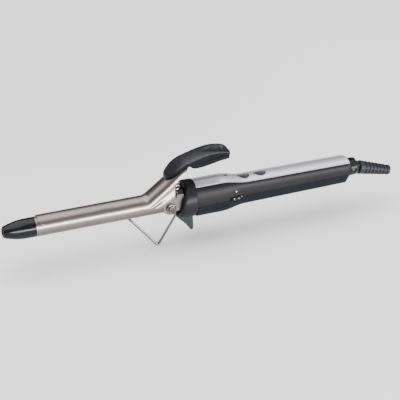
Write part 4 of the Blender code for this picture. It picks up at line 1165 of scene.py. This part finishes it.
# %% Stand
wire_r = 1.2
eye_y = joint_place("stand_fold").y
eye_r = 2.0 + 0.3 + wire_r
eye = [(x, eye_y, z) for x, z in arc((0, 0), eye_r, 250, 0, 40)]
hip = (eye_r + 0.1, eye_y, -ear_r - 0.6)
under = -(barrel_r + wire_r + 0.3)
foot = (-10.3, -3.2, -43.2)
tail = [eye[-1], hip, foot, (-35.3, -0.6, under - 2.4), (-37.5, -0.6, under)]
wire_piece("stand_wire", [Vector(p) for p in eye[:-1]] + rounded(tail, 4.2), wire_r, bright_chrome,
           "stand", ["wire_stand"], sides=8)

# %% [markdown]
# ## Swivel and cord guard
# The cord leaves through a ball-like swivel. A slot across it lets the guard tilt on its pin. The
# guard is soft vinyl with deep ribs, so that it bends evenly: it is turned from one profile, with a
# rounded rib and a flat groove at each pitch.

# %% Swivel
swivel_low, swivel_high = limits("swivel_core")
swivel_r = swivel_high.y
neck_r, stem_r, flange_r = 6.4, 4.6, 7.7
flange_x = rear_wall_x - 0.3
dome_x = handle_end + 0.3
dome_end = swivel_high.x
profile = [(swivel_low.x, 2.4), (swivel_low.x, stem_r), (flange_x - 2.2, stem_r), (flange_x - 2.2, flange_r),
           (flange_x, flange_r), (flange_x, neck_r), (dome_x + 1.0, neck_r), (dome_x + 1.4, swivel_r - 0.5)]
profile += arc((dome_x + 2.3, swivel_r - 0.7), 0.7, 150, 90, 5)
profile += [(dome_x + 6.4, swivel_r)]
shoulder_r = 5.2
profile += [(dome_end - shoulder_r + shoulder_r * math.sin(a), swivel_r - 4.2 * (1 - math.cos(a)))
            for a in [math.radians(9 * k) for k in range(1, 11)]]
profile += [(dome_end, 2.4)]
core = spun(profile, 96, closed=True)
bmesh.ops.translate(core, vec=(0, 0, swivel_at.z), verts=core.verts)
slot_half = 3.4
slot = box_between((swivel_at.x - 5.7, -slot_half, -13), (swivel_at.x + 14, slot_half, 15))
pin_hole = aim(spun([(0, 1.8), (24, 1.8)], 32), (swivel_at.x, -12, swivel_at.z), (0, 1, 0))
core = combine(core, [slot, pin_hole])
swivel_piece = make_piece("swivel_ball", core, swivel_black, "swivel", ["swivel_core"], sharp=40)
soften(swivel_piece, 0.25, 2, 50)

# %% Cord guard
guard_drop = 16.0
guard_start, guard_end = 8.4, 43.5
guard_r = (6.9, 4.7)
cord_r = 3.5
rib_pitch = 4.1
rib_depth = 0.95
slope = (guard_r[1] - guard_r[0]) / (guard_end - guard_start)
profile = [(guard_start, cord_r), (guard_start, guard_r[0] - 1.0)]
profile += arc((guard_start + 1.0, guard_r[0] - 1.0), 1.0, 170, 90, 5)
groove_starts = [guard_start + 5.2 + rib_pitch * i for i in range(7)]
groove = rib_pitch * 0.42
for s in groove_starts:
    r = guard_r[0] + slope * (s - guard_start)
    profile += [(s - 0.25, r), (s - 0.05, r - 0.12), (s + 0.1, r - rib_depth), (s + groove - 0.1, r - rib_depth),
                (s + groove + 0.05, r - 0.16), (s + groove + 0.25, r - 0.05)]
profile += [(guard_end - 0.8, guard_r[1])] + arc((guard_end - 0.6, guard_r[1] - 0.6), 0.6, 90, 0, 5)
profile += [(guard_end, cord_r)]
sleeve = spun(profile, 96, closed=True)
tongue_t = 3.1
outline = arc((0, 0), 5.0, 60, 300, 40) + [(guard_start + 0.9, -4.4), (guard_start + 0.9, 4.4)]
tongue = prism(outline, -tongue_t, tongue_t, 'Y')
sleeve = combine(sleeve, [tongue], 'UNION')
turn = Matrix.Rotation(math.radians(guard_drop), 3, 'Y')
bmesh.ops.rotate(sleeve, cent=(0, 0, 0), matrix=turn, verts=sleeve.verts)
bmesh.ops.translate(sleeve, vec=swivel_at, verts=sleeve.verts)
pin_hole = aim(spun([(0, 1.8), (24, 1.8)], 32), (swivel_at.x, -12, swivel_at.z), (0, 1, 0))
sleeve = combine(sleeve, [pin_hole])
make_piece("cord_sleeve", sleeve, guard_vinyl, "guard", ["cord_guard"], sharp=40)

# %% [markdown]
# ## Stage
# A white floor lies under the stand's foot. Large soft lights stand round the iron, and the world
# gives the metal something to reflect: bright above and dim near the horizon.

# %% Floor
floor = bmesh.new()
bmesh.ops.create_grid(floor, x_segments=1, y_segments=1, size=6.0)
bmesh.ops.translate(floor, vec=(0, 0, floor_z - 0.0002), verts=floor.verts)
floor_mesh = bpy.data.meshes.new("floor")
floor.to_mesh(floor_mesh)
floor.free()
white = Finish("floor_white", Roughness=0.9)
white.set("Base Color", (0.93, 0.93, 0.93))
floor_mesh.materials.append(white.material)
floor_obj = bpy.data.objects.new("floor", floor_mesh)
bpy.context.scene.collection.objects.link(floor_obj)


# %% Lights and world
def soft_light(name, place, target, size, power):
    lamp = bpy.data.lights.new(name, 'AREA')
    lamp.shape = 'RECTANGLE'
    lamp.size, lamp.size_y = size
    lamp.energy = power
    obj = bpy.data.objects.new(name, lamp)
    obj.location = place
    obj.rotation_euler = (Vector(target) - Vector(place)).to_track_quat('-Z', 'Y').to_euler()
    bpy.context.scene.collection.objects.link(obj)


middle = (0, 0, 0.05)
soft_light("key", (-0.3, 0.3, 2.2), middle, (3.2, 2.6), 100)
soft_light("strip", (0.6, -1.9, 0.27), middle, (3.2, 0.26), 190)

world = bpy.data.worlds.new("studio")
bpy.context.scene.world = world
world.use_nodes = True
tree = world.node_tree
coords = tree.nodes.new("ShaderNodeTexCoord")
split = tree.nodes.new("ShaderNodeSeparateXYZ")
ramp = tree.nodes.new("ShaderNodeValToRGB")
ramp.color_ramp.elements[0].position = 0.10
ramp.color_ramp.elements[0].color = (0.03, 0.03, 0.032, 1)
ramp.color_ramp.elements[1].position = 0.9
ramp.color_ramp.elements[1].color = (0.75, 0.75, 0.76, 1)
tree.links.new(coords.outputs["Generated"], split.inputs[0])
tree.links.new(split.outputs["Z"], ramp.inputs[0])
tree.links.new(ramp.outputs[0], tree.nodes["Background"].inputs["Color"])
tree.nodes["Background"].inputs["Strength"].default_value = 0.7

# %% [markdown]
# ## Camera
# A long lens from 1.6 m away, a little to the left of the iron and 29 degrees above it, aimed at a
# point on the barrel's axis just behind the collar.

# %% Camera
view_distance = 1.6
view_side = math.radians(-21.0)
view_height = math.radians(28.9)
view_roll = math.radians(-0.25)
frame_width = 0.3792
aim_point = pivot + Vector((34.0, 0.0, -5.0)) * MM
away = Vector((math.sin(view_side) * math.cos(view_height), -math.cos(view_side) * math.cos(view_height),
               math.sin(view_height)))
camera = bpy.data.cameras.new("camera")
camera.sensor_width = 36.0
camera.lens = camera.sensor_width * view_distance / frame_width
camera_obj = bpy.data.objects.new("camera", camera)
turned_view = (-away).to_track_quat('-Z', 'Y').to_matrix() @ Matrix.Rotation(view_roll, 3, 'Z')
camera_obj.matrix_world = Matrix.Translation(aim_point + away * view_distance) @ turned_view.to_4x4()
bpy.context.scene.collection.objects.link(camera_obj)
bpy.context.scene.camera = camera_obj
